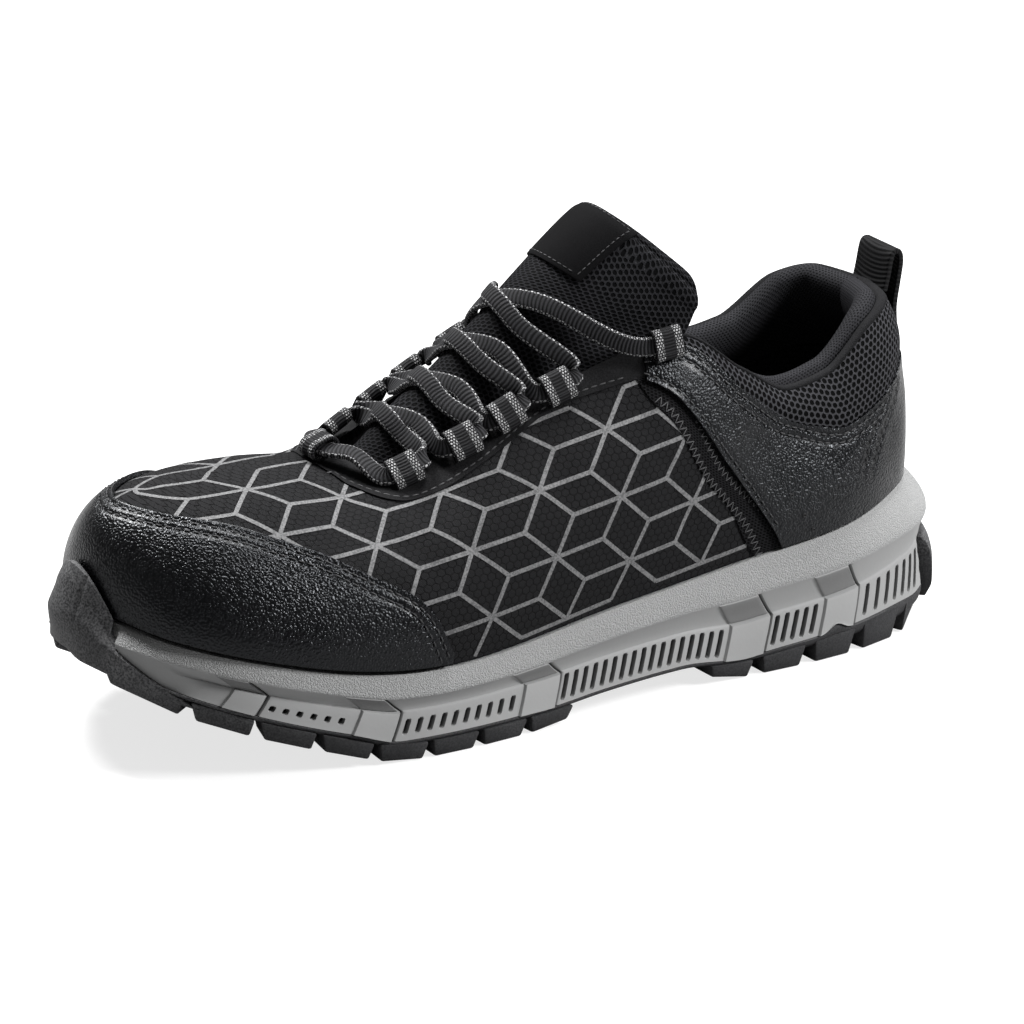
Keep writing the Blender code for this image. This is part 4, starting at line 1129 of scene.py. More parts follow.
@dataclass
class Needlework:
    """Stitch rows on the upper, gathered so that each kind of thread becomes one piece."""

    last: Last
    radius: float = 0.27
    stitch: float = 2.2
    gap: float = 0.75
    groove: float = 0.36
    groove_width: float = 0.95
    wall_scale: float = 8.0
    path_points: int = 240
    rows: dict[Seam, list[tuple[Array, Array, Array]]] = field(default_factory=dict)

    def line(self, marks: Sequence[Mark], side: Side, aside: float, lift: float) -> tuple[Array, Array]:
        """Path on the upper beside a marked line.

        Args:
            marks: places on the lateral side.
            side: side of the shoe to lay it on.
            aside: distance from the line, up the wall where positive.
            lift: height over the upper.

        Returns:
            Close points of the path and the directions out of the upper there.
        """
        last = self.last
        spots = [(mark.section, self.wall_scale * mark.up) for mark in marks]
        flat = SmoothLine(spots).even(self.path_points)
        r = side.around(flat[:, 0])
        v = flat[:, 1] / self.wall_scale
        step = last.step
        inner = np.clip(v, step, 1.0 - step)
        along = (last.point(r + step, v) - last.point(r - step, v)) / (2.0 * step)
        rise = (last.point(r, inner + step) - last.point(r, inner - step)) / (2.0 * step)
        across = np.cross(unit(np.gradient(last.point(r, v), axis=0)), last.normal(r, v))
        across *= np.where(across[:, 2:] < 0.0, -aside, aside)
        a, b, c = ((one * two).sum(axis=-1) for one, two in ((along, along), (along, rise), (rise, rise)))
        d, e = ((one * across).sum(axis=-1) for one in (along, rise))
        r = r + (c * d - b * e) / (a * c - b * b)
        v = np.clip(v + (a * e - b * d) / (a * c - b * b), 0.0, 1.0)
        return last.over(r, v, lift), last.normal(r, v)

    def sew(self, seam: Seam, path: Array, out: Array, stitch: float, gap: float) -> None:
        """Lay straight stitches along a path.

        Args:
            seam: kind of stitching.
            path, out: points of the path and the directions out of the piece there.
            stitch, gap: length of a stitch and of the gap after it.
        """
        steps = travel(path)
        starts = np.arange(0.0, steps[-1] - stitch, stitch + gap)
        ends = starts + stitch
        up = sample(0.5 * (starts + ends), steps, out)
        row = (sample(starts, steps, path), sample(ends, steps, path), up)
        self.rows.setdefault(seam, []).append(row)

    def row(self, marks: Sequence[Mark], side: Side, aside: float, lift: float) -> Array:
        """Sew a plain row beside a marked line, given as for line, and give its path."""
        path, out = self.line(marks, side, aside, lift)
        self.sew(Seam.PANEL, path, out, self.stitch, self.gap)
        return path

    def zigzag(self, path: Array, out: Array, reach: float, pitch: float) -> None:
        """Lay a zig-zag along a path.

        Args:
            path, out: points of the path and the directions out of the piece there.
            reach: swing to each side.
            pitch: distance along the path from one corner to the next.
        """
        steps = travel(path)
        at = np.arange(0.0, steps[-1], pitch)
        middle = sample(at, steps, path)
        up = unit(sample(at, steps, out))
        across = unit(np.cross(unit(np.gradient(middle, axis=0)), up))
        swing = np.where(np.arange(len(at)) % 2 == 0, 1.0, -1.0)[:, None]
        spots = middle + across * swing * reach
        self.rows.setdefault(Seam.ZIGZAG, []).append((spots[:-1], spots[1:], up[:-1]))

    def make(self, seam: Seam, material: Material, slot: Slot, radius: float) -> Item:
        """Turn all stitches of one kind into a piece.

        Args:
            seam: kind of stitching.
            material: finish of its thread.
            slot: material slot of the record; not used.
            radius: half the thickness of a stitch.

        Returns:
            The piece.
        """
        a, b, up = (np.concatenate(column) for column in zip(*self.rows[seam]))
        length = np.linalg.norm(b - a, axis=-1, keepdims=True)
        run = (b - a) / length
        side = unit(np.cross(unit(up), run))
        pattern = Bench.start(bpy.ops.mesh.primitive_uv_sphere_add, segments=6, ring_count=5, radius=1.0)
        pattern.data.transform(Matrix.Rotation(math.radians(90.0), 4, "Y"))
        thick = radius * MM
        turns = np.stack([run * length * 0.5 * MM, side * thick, np.cross(run, side) * thick * 0.8], axis=1)
        return hand_over(Bench.copies(seam.value, pattern, 0.5 * (a + b), turns), material)

    def pull(self, points: Array, paths: Sequence[Array]) -> Array:
        """Depth to which stitch rows pull a panel in.

        Args:
            points: points of the panel.
            paths: paths of its rows.

        Returns:
            Depth at each point.
        """
        depth = np.zeros(points.shape[:-1])
        flat = points.reshape(-1, 3)
        for path in paths:
            gap = np.full(len(flat), np.inf)
            for spot in path[::2]:
                gap = np.minimum(gap, np.einsum("ij,ij->i", flat - spot, flat - spot))
            depth += self.groove * np.exp(-gap / self.groove_width ** 2).reshape(depth.shape)
        return depth


@dataclass
class Upper:
    """Cloth upper with its printed lines, the plain lace facing and the felted side bands."""

    last: Last
    needle: Needlework
    facing_lift: float = 0.55
    facing_thick: float = 0.45
    band_lift: float = 0.5
    band_thick: float = 0.4
    band_tuck: float = 0.35
    line_width: float = 1.35
    line_lift: float = 0.13
    line_thick: float = 0.1
    line_points: int = 13
    line_top: float = 0.995
    line_start: float = 3.5
    star: tuple[float, float] = (169.4, 75.4)
    towards_heel: tuple[float, float] = (-28.3, -6.86)
    downward: tuple[float, float] = (-2.7, -21.0)
    bow: float = -2.4
    bow_middle: float = 65.0
    bow_reach: float = 30.0
    least_cosine: float = 0.8
    longest_step: float = 3.0
    straight_span: float = 1.6
    straight_start: float = 3.9

    def build(self) -> None:
        """Make the shell and what lies on it."""
        self.shell(PrintedCloth().make())
        self.lines(PrintFilm().make())
        self.facing(PlainCloth().make())
        # side band mesh: holes painted dark as painted shade
        felt = SpacerMesh("side_band_mesh", pitch=1.5, stretch=0.8, size=0.3, rib=(0.012, 0.012, 0.013))
        self.bands(felt.make())

    def shell(self, material: Material) -> None:
        """Lasted shell from the feather line to collar and throat."""
        def surface(v: Array, r: Array) -> Array:
            """Creased outer face."""
            return self.last.over(r, v, 0.0)

        def chart(v: Array, r: Array) -> Array:
            """Distance along the shoe, and girth up from the feather line."""
            points = self.last.point(r, v)
            return np.stack([points[..., 0], travel(points) + points[:1, :, 2]], -1)

        rows = np.linspace(0.0, 1.0, 43)
        item = Bench.sheet("upper_cloth", surface, rows, np.linspace(0.0, RING, 313), chart)
        hand_over(Bench.finish(item, self.last.wall), material, ["upper"])

    def spots(self) -> list[tuple[Array, Array]]:
        """Ends of all printed lines on the flat cloth: each star with the six block corners around it."""
        heel = np.array(self.towards_heel)
        down = np.array(self.downward)
        around = (heel, down, down - heel, -heel, -down, heel - down)
        lines = []
        for i in range(-6, 5):
            for j in range(-7, 7):
                star = np.array(self.star) + i * heel + j * down
                lines += [(star, star + (around[k - 1] + around[k]) / 3.0) for k in (1, 2, 3, 4, 5, 0)]
        return lines

    def strip(self, at: Array, up: Array) -> Array | None:
        """One printed line as a strip.

        Args:
            at, up: section numbers and shares of its points.

        Returns:
            Points of its two sides, or none where it leaves the cloth or doesn't lie smoothly on it.
        """
        if up.min() < 0.0 or up.max() > self.line_top or from_heel(at).min() < self.line_start:
            return None
        base = self.last.over(at, up, self.line_lift)
        moves = np.diff(base, axis=0)
        chords = unit(moves)
        cosine = min(np.einsum("ij,ij->i", chords[1:], chords[:-1]).min(), chords[0] @ chords[-1])
        if cosine < self.least_cosine or np.linalg.norm(moves, axis=-1).max() > self.longest_step:
            if abs(at[-1] - at[0]) > self.straight_span or from_heel(at).min() < self.straight_start:
                return None
            at = np.linspace(at[0], at[-1], len(at))
            up = np.linspace(up[0], up[-1], len(up))
            base = self.last.over(at, up, self.line_lift)
        run = unit(np.gradient(base, axis=0))
        side = np.cross(self.last.normal(at, up), run) * 0.5 * self.line_width
        return np.concatenate([base - side, base + side])

    def lines(self, material: Material) -> None:
        """Printed lines of stacked blocks, as thin strips on the cloth of both sides."""
        count = self.line_points
        steps = np.linspace(0.0, 1.0, count)[:, None]
        flat = np.concatenate([start + (end - start) * steps for start, end in self.spots()])
        flat[:, 0] += self.bow * ((flat[:, 1] - self.bow_middle) / self.bow_reach) ** 2
        r, v = Development(self.last).to_wall(flat)
        strips = [self.strip(at, up) for at, up in zip(r.reshape(-1, count), v.reshape(-1, count))]
        strips = [strip for strip in strips if strip is not None]
        firsts = [2 * count * number + n for number in range(len(strips)) for n in range(count - 1)]
        faces = [(k, k + 1, k + count + 1, k + count) for k in firsts]
        item = Bench.gather("printed_lines", to_frame(np.concatenate(strips)), faces)
        Bench.thicken(item, self.line_thick)
        hand_over(item, material)

    def facing(self, material: Material) -> None:
        """Plain strip along the throat that carries the lace loops."""
        low = EdgeLine(EYESTAY_EDGE)
        sections = np.linspace(EYESTAY_EDGE[0].section, EYESTAY_EDGE[-1].section, 121)

        def surface(share: Array, r: Array) -> Array:
            """Strip from its lower edge to the throat."""
            start = low(r)
            return self.last.over(r, start + share * (1.0 - start), self.facing_lift)

        halves = []
        for side in Side:
            name = f"lace_facing_{side.value}"
            halves.append(Bench.sheet(name, surface, np.linspace(0.0, 1.0, 13), side.ring(sections)))
            self.needle.row(EYESTAY_EDGE[1:-1], side, 1.6, self.facing_lift)
        item = Bench.join("lace_facing", halves)
        Bench.weld(item, 0.15)
        hand_over(Bench.finish(item, self.facing_thick), material)

    def bands(self, material: Material) -> None:
        """Felted bands between the printed cloth and the quarters, with their zig-zag stitches."""
        front = SteadyLine([mark.up for mark in BAND_FRONT], [mark.section for mark in BAND_FRONT])
        back = SteadyLine([mark.up for mark in QUARTER_FRONT], [mark.section for mark in QUARTER_FRONT])
        for side in Side:
            def surface(v: Array, share: Array) -> Array:
                """Band from under the quarter to its front edge."""
                rear = back(v) - self.band_tuck
                return self.last.over(side.around(rear + share * (front(v) - rear)), v, self.band_lift)

            shares = np.linspace(0.0, 1.0, 25)[::int(side.sign)]
            item = Bench.sheet(f"side_band_{side.value}", surface, np.linspace(0.01, 1.0, 61), shares)
            hand_over(Bench.finish(item, self.band_thick), material)
            for shift, reach in ((-0.04, 1.5), (-0.36, 1.4)):
                marks = [Mark(mark.section + shift, mark.up) for mark in BAND_FRONT[:-1]]
                path, out = self.needle.line(marks, side, 0.0, self.band_lift + 0.1)
                self.needle.zigzag(path, out, reach, 1.25)


@dataclass
class Panels:
    """Leather toe cap, quarters and heel counter with their stitched edges."""

    last: Last
    needle: Needlework
    thickness: float = 1.4
    lift: float = 1.95
    foot: float = 0.02
    edge: float = 0.45
    counter_reach: float = 2.73

    def build(self) -> None:
        """Make the four panels, their stitch rows and the small punched dots."""
        leather = PebbledLeather().make()
        front = EdgeLine(QUARTER_FRONT)
        top = EdgeLine(QUARTER_TOP)
        seam = EdgeLine(BACK_SEAM)

        def quarter_low(r: Array) -> Array:
            """Lower edge of the quarters: the seam at the back, then their front edge."""
            return np.where(from_heel(r) < BACK_SEAM[-1].section, seam(r), front(r))

        def counter_high(r: Array) -> Array:
            """Upper edge of the heel counter: the quarters' top line, then the seam."""
            return np.where(from_heel(r) < BACK_SEAM[0].section, top(r), seam(r))

        def ground(r: Array) -> Array:
            """Lower edge at the sole."""
            return np.full(np.shape(r), self.foot)

        start = CAP_EDGE[0].section
        rows = [self.needle.row(CAP_EDGE, side, aside, self.lift) for side in Side for aside in (-1.9, -4.7)]
        sections = np.linspace(start, RING - start, 341)
        self.panel("toe_cap", ground, EdgeLine(CAP_EDGE), sections, rows, leather)
        spans = ((1.66, 2.9, 40), (2.93, 3.75, 24), (3.8, 6.34, 79))
        quarter = np.concatenate([np.linspace(*span) for span in spans])
        edges = (
            (QUARTER_FRONT[1:], 2.1), (QUARTER_TOP[3:], -1.9), (QUARTER_TOP[3:], -4.4),
            (BACK_SEAM[1:-1], 2.2),
        )
        for side in Side:
            rows = [self.needle.row(marks, side, aside, self.lift) for marks, aside in edges]
            self.panel(f"quarter_{side.value}", quarter_low, top, side.ring(quarter), rows, leather)
        rows = [self.needle.row(BACK_SEAM[:-1], side, -2.2, self.lift) for side in Side]
        sections = np.linspace(-self.counter_reach, self.counter_reach, 145)
        self.panel("heel_counter", ground, counter_high, sections, rows, leather)
        self.dots()

    def panel(
        self, name: str, low: Curve, high: Curve, sections: Array, rows: Sequence[Array], material: Material
    ) -> None:
        """One leather panel between two edge lines, pulled in along its stitch rows.

        Args:
            name: name of the piece and of the solid it replaces.
            low, high: shares up the wall of its edges by section number.
            sections: section numbers of its grid.
            rows: paths of its stitch rows.
            material: its finish.
        """
        def surface(share: Array, r: Array) -> Array:
            """Panel from its lower to its upper edge."""
            start = low(r)
            v = start + share * (high(r) - start)
            smooth = self.last.over(r, v, self.lift)
            return smooth - self.last.normal(r, v) * self.needle.pull(smooth, rows)[..., None]

        shares = np.concatenate([np.linspace(0.0, 0.72, 34)[:-1], np.linspace(0.72, 1.0, 25)])
        item = Bench.sheet(f"{name}_leather", surface, shares, sections)
        hand_over(Bench.finish(item, self.thickness, self.edge), material, [name])

    def dots(self) -> None:
        """Small punched dots in the quarters."""
        sections = np.array([mark.section for mark in PERFORATIONS])
        r = np.concatenate([side.around(sections) for side in Side])
        v = np.array([mark.up for mark in PERFORATIONS] * 2)
        out = self.last.normal(r, v)
        along = unit(np.cross(out, UPWARD))
        turns = np.stack([along, np.cross(out, along), out], axis=1)
        rim = Bench.start(
            bpy.ops.mesh.primitive_torus_add, major_segments=16, minor_segments=6, major_radius=0.5 * MM,
            minor_radius=0.26 * MM,
        )
        item = Bench.copies("punched_dots", rim, self.last.over(r, v, self.lift + 0.05), turns)
        hand_over(item, Thread("dot_rim", (0.006, 0.006, 0.007)).make())


class RollSpot(NamedTuple):
    """Corner of the collar roll: share up the wall, depth inside it and rise over its edge."""

    up: float
    depth: float
    rise: float


@dataclass
class Collar:
    """Open mesh round the ankle, its piping and the padded knit roll inside."""

    last: Last
    reach: float = 6.2
    mesh_thick: float = 0.4
    mesh_tuck: float = 0.04
    roll_end: float = 5.55
    roll_thin: float = 0.42
    roll_gap: float = 0.55
    piping: float = 1.15
    puff: float = 1.7
    least_puff: float = 0.3
    roll: tuple[RollSpot, ...] = (
        RollSpot(0.56, 0.0, 0.0), RollSpot(0.76, 0.0, 0.0), RollSpot(0.92, 0.0, 0.0),
        RollSpot(1.0, 0.0, 0.6), RollSpot(1.0, 0.8, 3.2), RollSpot(1.0, 3.6, 4.2),
        RollSpot(1.0, 6.6, 2.6), RollSpot(0.96, 8.0, 0.0), RollSpot(0.84, 7.6, 0.0),
        RollSpot(0.70, 4.8, 0.0), RollSpot(0.56, 1.4, 0.0),
    )

    def build(self) -> None:
        """Make the mesh, the piping and the roll."""
        # collar mesh ribs made lighter, partly as a painted highlight; holes painted dark as painted shade
        self.mesh_band(SpacerMesh("collar_mesh", pitch=2.2, size=0.37, rib=(0.057, 0.057, 0.0625)).make())
        self.edge_piping(PlainCloth("collar_piping", grain=0.3, high=(0.012, 0.012, 0.0135)).make())
        # knit lining holes painted dark as painted shade
        knit = SpacerMesh(
            "knit_lining", pitch=1.25, stretch=0.8, size=0.26, depth=0.22, hole=(0.006, 0.006, 0.0066),
            rib=(0.028, 0.028, 0.031),
        )
        self.padded_roll(knit.make())

    def mesh_band(self, material: Material) -> None:
        """Puffed mesh between the quarters' top seam and the collar edge."""
        top = EdgeLine(QUARTER_TOP)

        def surface(share: Array, r: Array) -> Array:
            """Mesh from under the seam to the collar edge."""
            low = top(r) - self.mesh_tuck
            puff = self.least_puff + (self.puff - self.least_puff) * (1.0 - ease(np.abs(r), 3.6, 5.8))
            lift = 0.5 + puff * np.sin(np.pi * np.clip(share, 0.0, 1.0)) ** 0.8
            return self.last.over(r, low + share * (1.0 - low), lift)

        sections = np.linspace(-self.reach, self.reach, 321)
        item = Bench.sheet("collar_mesh", surface, np.linspace(0.0, 1.0, 33), sections)
        hand_over(Bench.finish(item, self.mesh_thick), material)

    def edge_piping(self, material: Material) -> None:
        """Round piping over the edge of the wall."""
        def surface(turn: Array, r: Array) -> Array:
            """Tube about the middle of the wall's edge."""
            middle = self.last.over(r, np.ones_like(r), -0.5 * self.last.wall)
            out = self.last.normal(r, np.ones_like(r))
            across = out * (np.cos(turn) * (0.5 * self.last.wall + 0.75))[..., None]
            return middle + across + self.last.inward(r) * (np.sin(turn) * self.piping + 0.3)[..., None]

        sections = np.linspace(-self.reach, self.reach, 241)
        item = Bench.sheet("collar_piping", surface, np.linspace(FULL_TURN, 0.0, 17), sections)
        hand_over(Bench.finish(item), material)

    def padded_roll(self, material: Material) -> None:
        """Padded roll and lining inside the collar."""
        up, deep, rise = (SmoothRing(column) for column in zip(*self.roll))

        def surface(k: Array, r: Array) -> Array:
            """Roll round its corners, thinner towards the throat."""
            full = 1.0 - (1.0 - self.roll_thin) * ease(np.abs(r), 4.0, self.roll_end)
            depth = self.last.wall + self.roll_gap + np.maximum(deep(k), 0.0) * full
            base = self.last.over(r, np.minimum(up(k), 1.0), -depth)
            return base + self.last.inward(r) * (np.maximum(rise(k), 0.0) * full)[..., None]

        count = len(self.roll)
        sections = np.linspace(-self.roll_end, self.roll_end, 221)
        item = Bench.sheet("collar_roll", surface, np.linspace(0.0, count, 6 * count + 1), sections)
        hand_over(Bench.finish(item, angle=60.0), material, ["collar"])


class Cut(NamedTuple):
    """Cross cut of the tongue: place of its ridge, half width, drop of its sides and thickness."""

    x: float
    z: float
    half: float
    arch: float
    pad: float


@dataclass
class Tongue:
    """Padded mesh tongue and its plain woven label."""

    edge: float = 1.2
    full_edge: float = 6.0
    corner: float = 0.2
    corner_start: float = 7.9
    draw: float = 0.05
    hang: float = 0.24
    label_start: float = 6.88
    label_end: float = 8.86
    label_side: float = 0.52
    label_shift: float = -0.07
    label_lift: float = 0.8
    label_thick: float = 0.7
    seam_points: int = 60
    cuts: tuple[Cut, ...] = (
        Cut(227, 70.0, 14.0, 5.0, 3.5), Cut(216, 73.4, 15.5, 9.0, 4.0), Cut(207, 79.0, 17.5, 14.5, 5.0),
        Cut(195, 90.0, 20.5, 19.0, 6.0), Cut(180, 101.0, 22.5, 22.0, 6.5), Cut(167, 112.6, 23.0, 24.5, 7.5),
        Cut(156, 123.2, 25.5, 31.0, 8.0), Cut(143.8, 133.2, 31.5, 40.0, 8.5),
        Cut(132, 142.0, 34.0, 40.0, 8.5), Cut(123.5, 147.0, 36.0, 41.0, 8.0),
    )

    def __post_init__(self) -> None:
        """Make the curves along the tongue."""
        at = range(len(self.cuts))
        lines = [SteadyLine(at, column) for column in zip(*self.cuts)]
        self.x, self.z, self.half, self.arch, self.pad = lines
        self.end = float(len(self.cuts) - 1)

    def frame(self, u: Array) -> tuple[Array, Array]:
        """Ridge points and the directions out of the face there."""
        low = np.maximum(u - 0.05, 0.0)
        high = np.minimum(u + 0.05, self.end)
        run_x = self.x(high) - self.x(low)
        run_z = self.z(high) - self.z(low)
        size = np.hypot(run_x, run_z)
        ridge = np.stack([self.x(u), np.zeros(np.shape(u)), self.z(u)], -1)
        return ridge, np.stack([run_z / size, np.zeros(np.shape(u)), -run_x / size], -1)

    def point(self, u: Array, s: Array) -> Array:
        """Face of the tongue.

        Args:
            u: cut numbers from root to top edge.
            s: places across, from -1 to 1.

        Returns:
            Points in millimetres from the heel.
        """
        ridge, out = self.frame(u)
        back = ease(u, 5.2, 7.0)
        drop = np.stack([1.0 + self.hang * back, np.zeros(np.shape(u)), 1.0 - self.hang * back], -1)
        point = ridge - out * drop * (self.arch(u) * s * s)[..., None]
        point[..., 1] = self.half(u) * s - 2.0 * (1.0 - ease(u, 1.0, 3.0))
        return point

    def over(self, u: Array, s: Array, lift: Array) -> Array:
        """Points at a height over the face.

        Args:
            u, s: places as for point.
            lift: heights.

        Returns:
            Points in millimetres from the heel.
        """
        u, s = np.broadcast_arrays(np.asarray(u, float), np.asarray(s, float))
        step = 0.04
        mid = np.clip(u, step, self.end - step)
        along = self.point(mid + step, s) - self.point(mid - step, s)
        across = self.point(mid, s + step) - self.point(mid, s - step)
        return self.point(u, s) + unit(np.cross(across, along)) * np.asarray(lift, float)[..., None]

    def run(self, u: Array) -> Array:
        """Direction along the ridge towards the top edge."""
        _, out = self.frame(np.asarray(u, float))
        return np.stack([-out[..., 2], np.zeros(out.shape[:-1]), out[..., 0]], -1)

    def build(self, needle: Needlework) -> None:
        """Make the pad and the label."""
        # dark hole colour: painted shade in the mesh holes
        dark = (0.002, 0.002, 0.0023)
        mesh = SpacerMesh("tongue_mesh", pitch=1.9, size=0.36, hole=dark, rib=(0.026, 0.026, 0.029))
        self.cushion(mesh.make())
        self.label(needle)

    def cushion(self, material: Material) -> None:
        """Padded body with rounded sides and top, sewn in beside its edge roll."""
        def surface(turn: Array, u: Array) -> Array:
            """Cushion round its cuts, drawn in at the seams and at the top corners."""
            s = swollen(np.cos(turn), 0.8)
            edge = self.edge + (self.full_edge - self.edge) * ease(u, 5.4, 7.0)
            pad = edge + (self.pad(u) - edge) * (1.0 - s * s)
            tip = np.sqrt(np.clip(1.0 - (np.maximum(u - 8.45, 0.0) / 0.55) ** 2, 0.0, 1.0))
            swell = 0.5 * pad * swollen(np.sin(turn), 0.5) * tip
            side_seam = np.exp(-((np.abs(s) - 0.80) / 0.045) ** 2)
            seam = np.maximum(side_seam, np.exp(-((u - 8.72) / 0.07) ** 2))
            sewn = 0.8 * seam * ease(u, 5.2, 6.4) * (np.sin(turn) > 0.0) * tip
            rise = np.clip((u - self.corner_start) / (self.end - self.corner_start), 0.0, 1.0)
            span = 1.0 - self.draw * ease(u, 7.0, 8.0) - self.corner * (1.0 - np.sqrt(1.0 - rise * rise))
            return self.over(u, s * span, swell - 0.5 * pad - sewn)

        along = np.concatenate([np.linspace(0.0, 8.5, 120), np.linspace(8.52, self.end, 30)])
        item = Bench.sheet("tongue_pad", surface, np.linspace(0.0, FULL_TURN, 97), along)
        hand_over(Bench.finish(item, angle=70.0), material, ["tongue"])

    def label(self, needle: Needlework) -> None:
        """Plain woven label, sewn on round its border."""
        def lift(u: Array) -> Array:
            """Height of the label, which bends down at its top."""
            return self.label_lift - 1.1 * np.maximum((u - 8.4) / 0.45, 0.0) ** 2

        def surface(s: Array, u: Array) -> Array:
            """Label over the face of the tongue."""
            return self.over(u, s + self.label_shift, lift(u))

        across = np.linspace(-self.label_side, self.label_side, 33)
        item = Bench.sheet(
            "tongue_label_cloth", surface, across, np.linspace(self.label_start, self.label_end, 33)
        )
        weave = PlainCloth("label_weave", grain=0.28, depth=0.06, high=(0.0045, 0.0045, 0.005), shine=0.05)
        hand_over(Bench.finish(item, self.label_thick, 0.2), weave.make(), ["tongue_label"])
        side = self.label_side - 0.045
        low = self.label_start + 0.1
        high = self.label_end - 0.1
        corners = np.array(((-side, low), (side, low), (side, high), (-side, high), (-side, low)))
        share = np.linspace(0.0, 1.0, self.seam_points)
        for a, b in zip(corners[:-1], corners[1:]):
            s = a[0] + (b[0] - a[0]) * share + self.label_shift
            u = a[1] + (b[1] - a[1]) * share
            out = unit(self.over(u, s, np.ones_like(share)) - self.over(u, s, np.zeros_like(share)))
            needle.sew(Seam.LABEL, self.over(u, s, lift(u) + 0.05), out, 1.5, 0.5)


class Eyelet(NamedTuple):
    """Lace loop: section number, row along the tongue, what lies under it and its share up the wall."""

    section: float
    row: float
    over: float
    seat: float = 0.93


class Stand(NamedTuple):
    """Foot of a loop, and its directions towards the toe, up along the loop and out of it."""

    foot: Array
    ahead: Array
    climb: Array
    out: Array


@dataclass
class Lacing:
    """Webbing loops along the throat and the flat lace that runs through them."""

    last: Last
    tongue: Tongue
    gap: float = 0.45
    tilt: float = 27.0
    loop_width: float = 9.6
    loop_length: float = 10.2
    loop_depth: float = 4.6
    webbing: float = 1.0
    front_section: float = 10.0
    front_tilt: float = 20.0
    front_width: float = 8.0
    front_depth: float = 6.2
    front_seat: float = 6.0
    lace_width: float = 5.9
    lace_thick: float = 2.1
    lace_step: float = 1.1
    pass_reach: float = 5.9
    pass_lift: float = 0.6
    lift: float = 1.75
    over_lift: float = 1.5
    under_lift: float = -0.5
    reach: float = 0.56
    spread: float = 0.25
    straight: float = 8.35
    bar_radius: float = 14.0
    bar_sweep: float = 50.0
    lateral: tuple[Eyelet, ...] = (
        Eyelet(8.86, 2.45, 0.0, 0.87), Eyelet(8.06, 3.35, 0.0, 0.905), Eyelet(7.55, 4.25, 0.0),
        Eyelet(7.06, 5.2, 0.0), Eyelet(6.16, 6.5, 1.95),
    )
    medial: tuple[Eyelet, ...] = (
        Eyelet(9.05, 2.4, 0.8, 0.95), Eyelet(8.25, 3.2, 0.8, 0.95), Eyelet(7.72, 4.05, 0.8, 0.95),
        Eyelet(7.2, 4.95, 0.8, 0.95), Eyelet(6.66, 6.2, 0.8, 0.95),
    )

    def eyelets(self, side: Side) -> tuple[Eyelet, ...]:
        """Loops of one side, from the toe."""
        return self.lateral if side is Side.LATERAL else self.medial

    def stand(self, side: Side, number: int) -> Stand:
        """Foot and directions of a loop.

        Args:
            side: side of the throat.
            number: place in the row, from 0 at the toe.

        Returns:
            How it stands.
        """
        eyelet = self.eyelets(side)[number]
        section = np.array(eyelet.section)
        r = side.around(section)
        steady = side.around(np.minimum(section, self.straight))
        ahead = side.sign * unit(self.last.top_edge(steady + 0.05) - self.last.top_edge(steady - 0.05))
        flat = unit(self.last.inward(r) * np.array([1.0, 1.0, 0.0]))
        angle = math.radians(float(self.last.curves["rise"](r)) + self.tilt)
        climb = flat * math.cos(angle) + UPWARD * math.sin(angle)
        climb = unit(climb - ahead * (climb @ ahead))
        out = np.cross(climb, ahead)
        out = -out if out[2] < 0.0 else out
        lift = np.array(0.5 * self.loop_depth + self.gap + eyelet.over)
        return Stand(self.last.over(r, np.array(eyelet.seat), lift), ahead, climb, out)

    def front_stand(self) -> Stand:
        """The same for the loop at the front of the throat."""
        base = self.last.top_edge(np.array(self.front_section))
        tilt = math.radians(self.front_tilt)
        foot = base + np.array([self.front_seat, 0.0, 0.5 * self.front_depth + self.gap])
        climb = np.array([-math.cos(tilt), 0.0, math.sin(tilt)])
        return Stand(foot, np.array([0.0, 1.0, 0.0]), climb, np.array([math.sin(tilt), 0.0, math.cos(tilt)]))

    def build(self) -> None:
        """Make all loops and the lace."""
        side_tape = RibbedWebbing("loop_webbing", self.loop_width, 3.2, 1.2).make()
        front_tape = RibbedWebbing("front_loop_webbing", self.front_width, 2.6, 1.0).make()
        for side in Side:
            for number in range(len(self.eyelets(side))):
                name = f"lace_loop_{side.value}_{number + 1}"
                self.loop(name, self.stand(side, number), self.loop_width, self.loop_depth, side_tape)
        self.loop("lace_loop_front", self.front_stand(), self.front_width, self.front_depth, front_tape)
        weave = RibbedWebbing("lace_weave", self.lace_width, 2.62, 0.3, 1.2, high=(0.032, 0.032, 0.035))
        self.lace(weave.make())

    def loop(self, name: str, stand: Stand, width: float, depth: float, material: Material) -> None:
        """Folded band of webbing standing on its rounded foot.

        Args:
            name: name of the piece and of the solid it replaces.
            stand: foot and directions of the loop.
            width, depth: size across the band and through the loop.
            material: its finish.
        """
        angles = np.pi * (np.array([[0.5], [1.5]]) + np.arange(13) / 12.0)
        rise = np.array([[0.0], [self.loop_length - depth]]) + 0.5 * depth * np.cos(angles)
        ring = np.stack([rise, 0.5 * depth * np.sin(angles)], -1).reshape(-1, 2)
        ring = np.concatenate([ring, ring[:1]])
        steps = travel(ring)
        hand = 1.0 if np.cross(stand.climb, stand.out) @ stand.ahead > 0.0 else -1.0

        def surface(at: Array, w: Array) -> Array:
            """Band by the distance round the loop and the place across."""
            spot = sample(at, steps, ring)
            middle = stand.foot + stand.climb * spot[..., :1] + stand.out * spot[..., 1:]
            return middle + stand.ahead * (hand * w)[..., None]

        across = np.linspace(-0.5 * width, 0.5 * width, 13)
        item = Bench.sheet(f"{name}_tape", surface, steps, across, tape_chart)
        hand_over(Bench.finish(item, self.webbing, 0.3), material, [name])

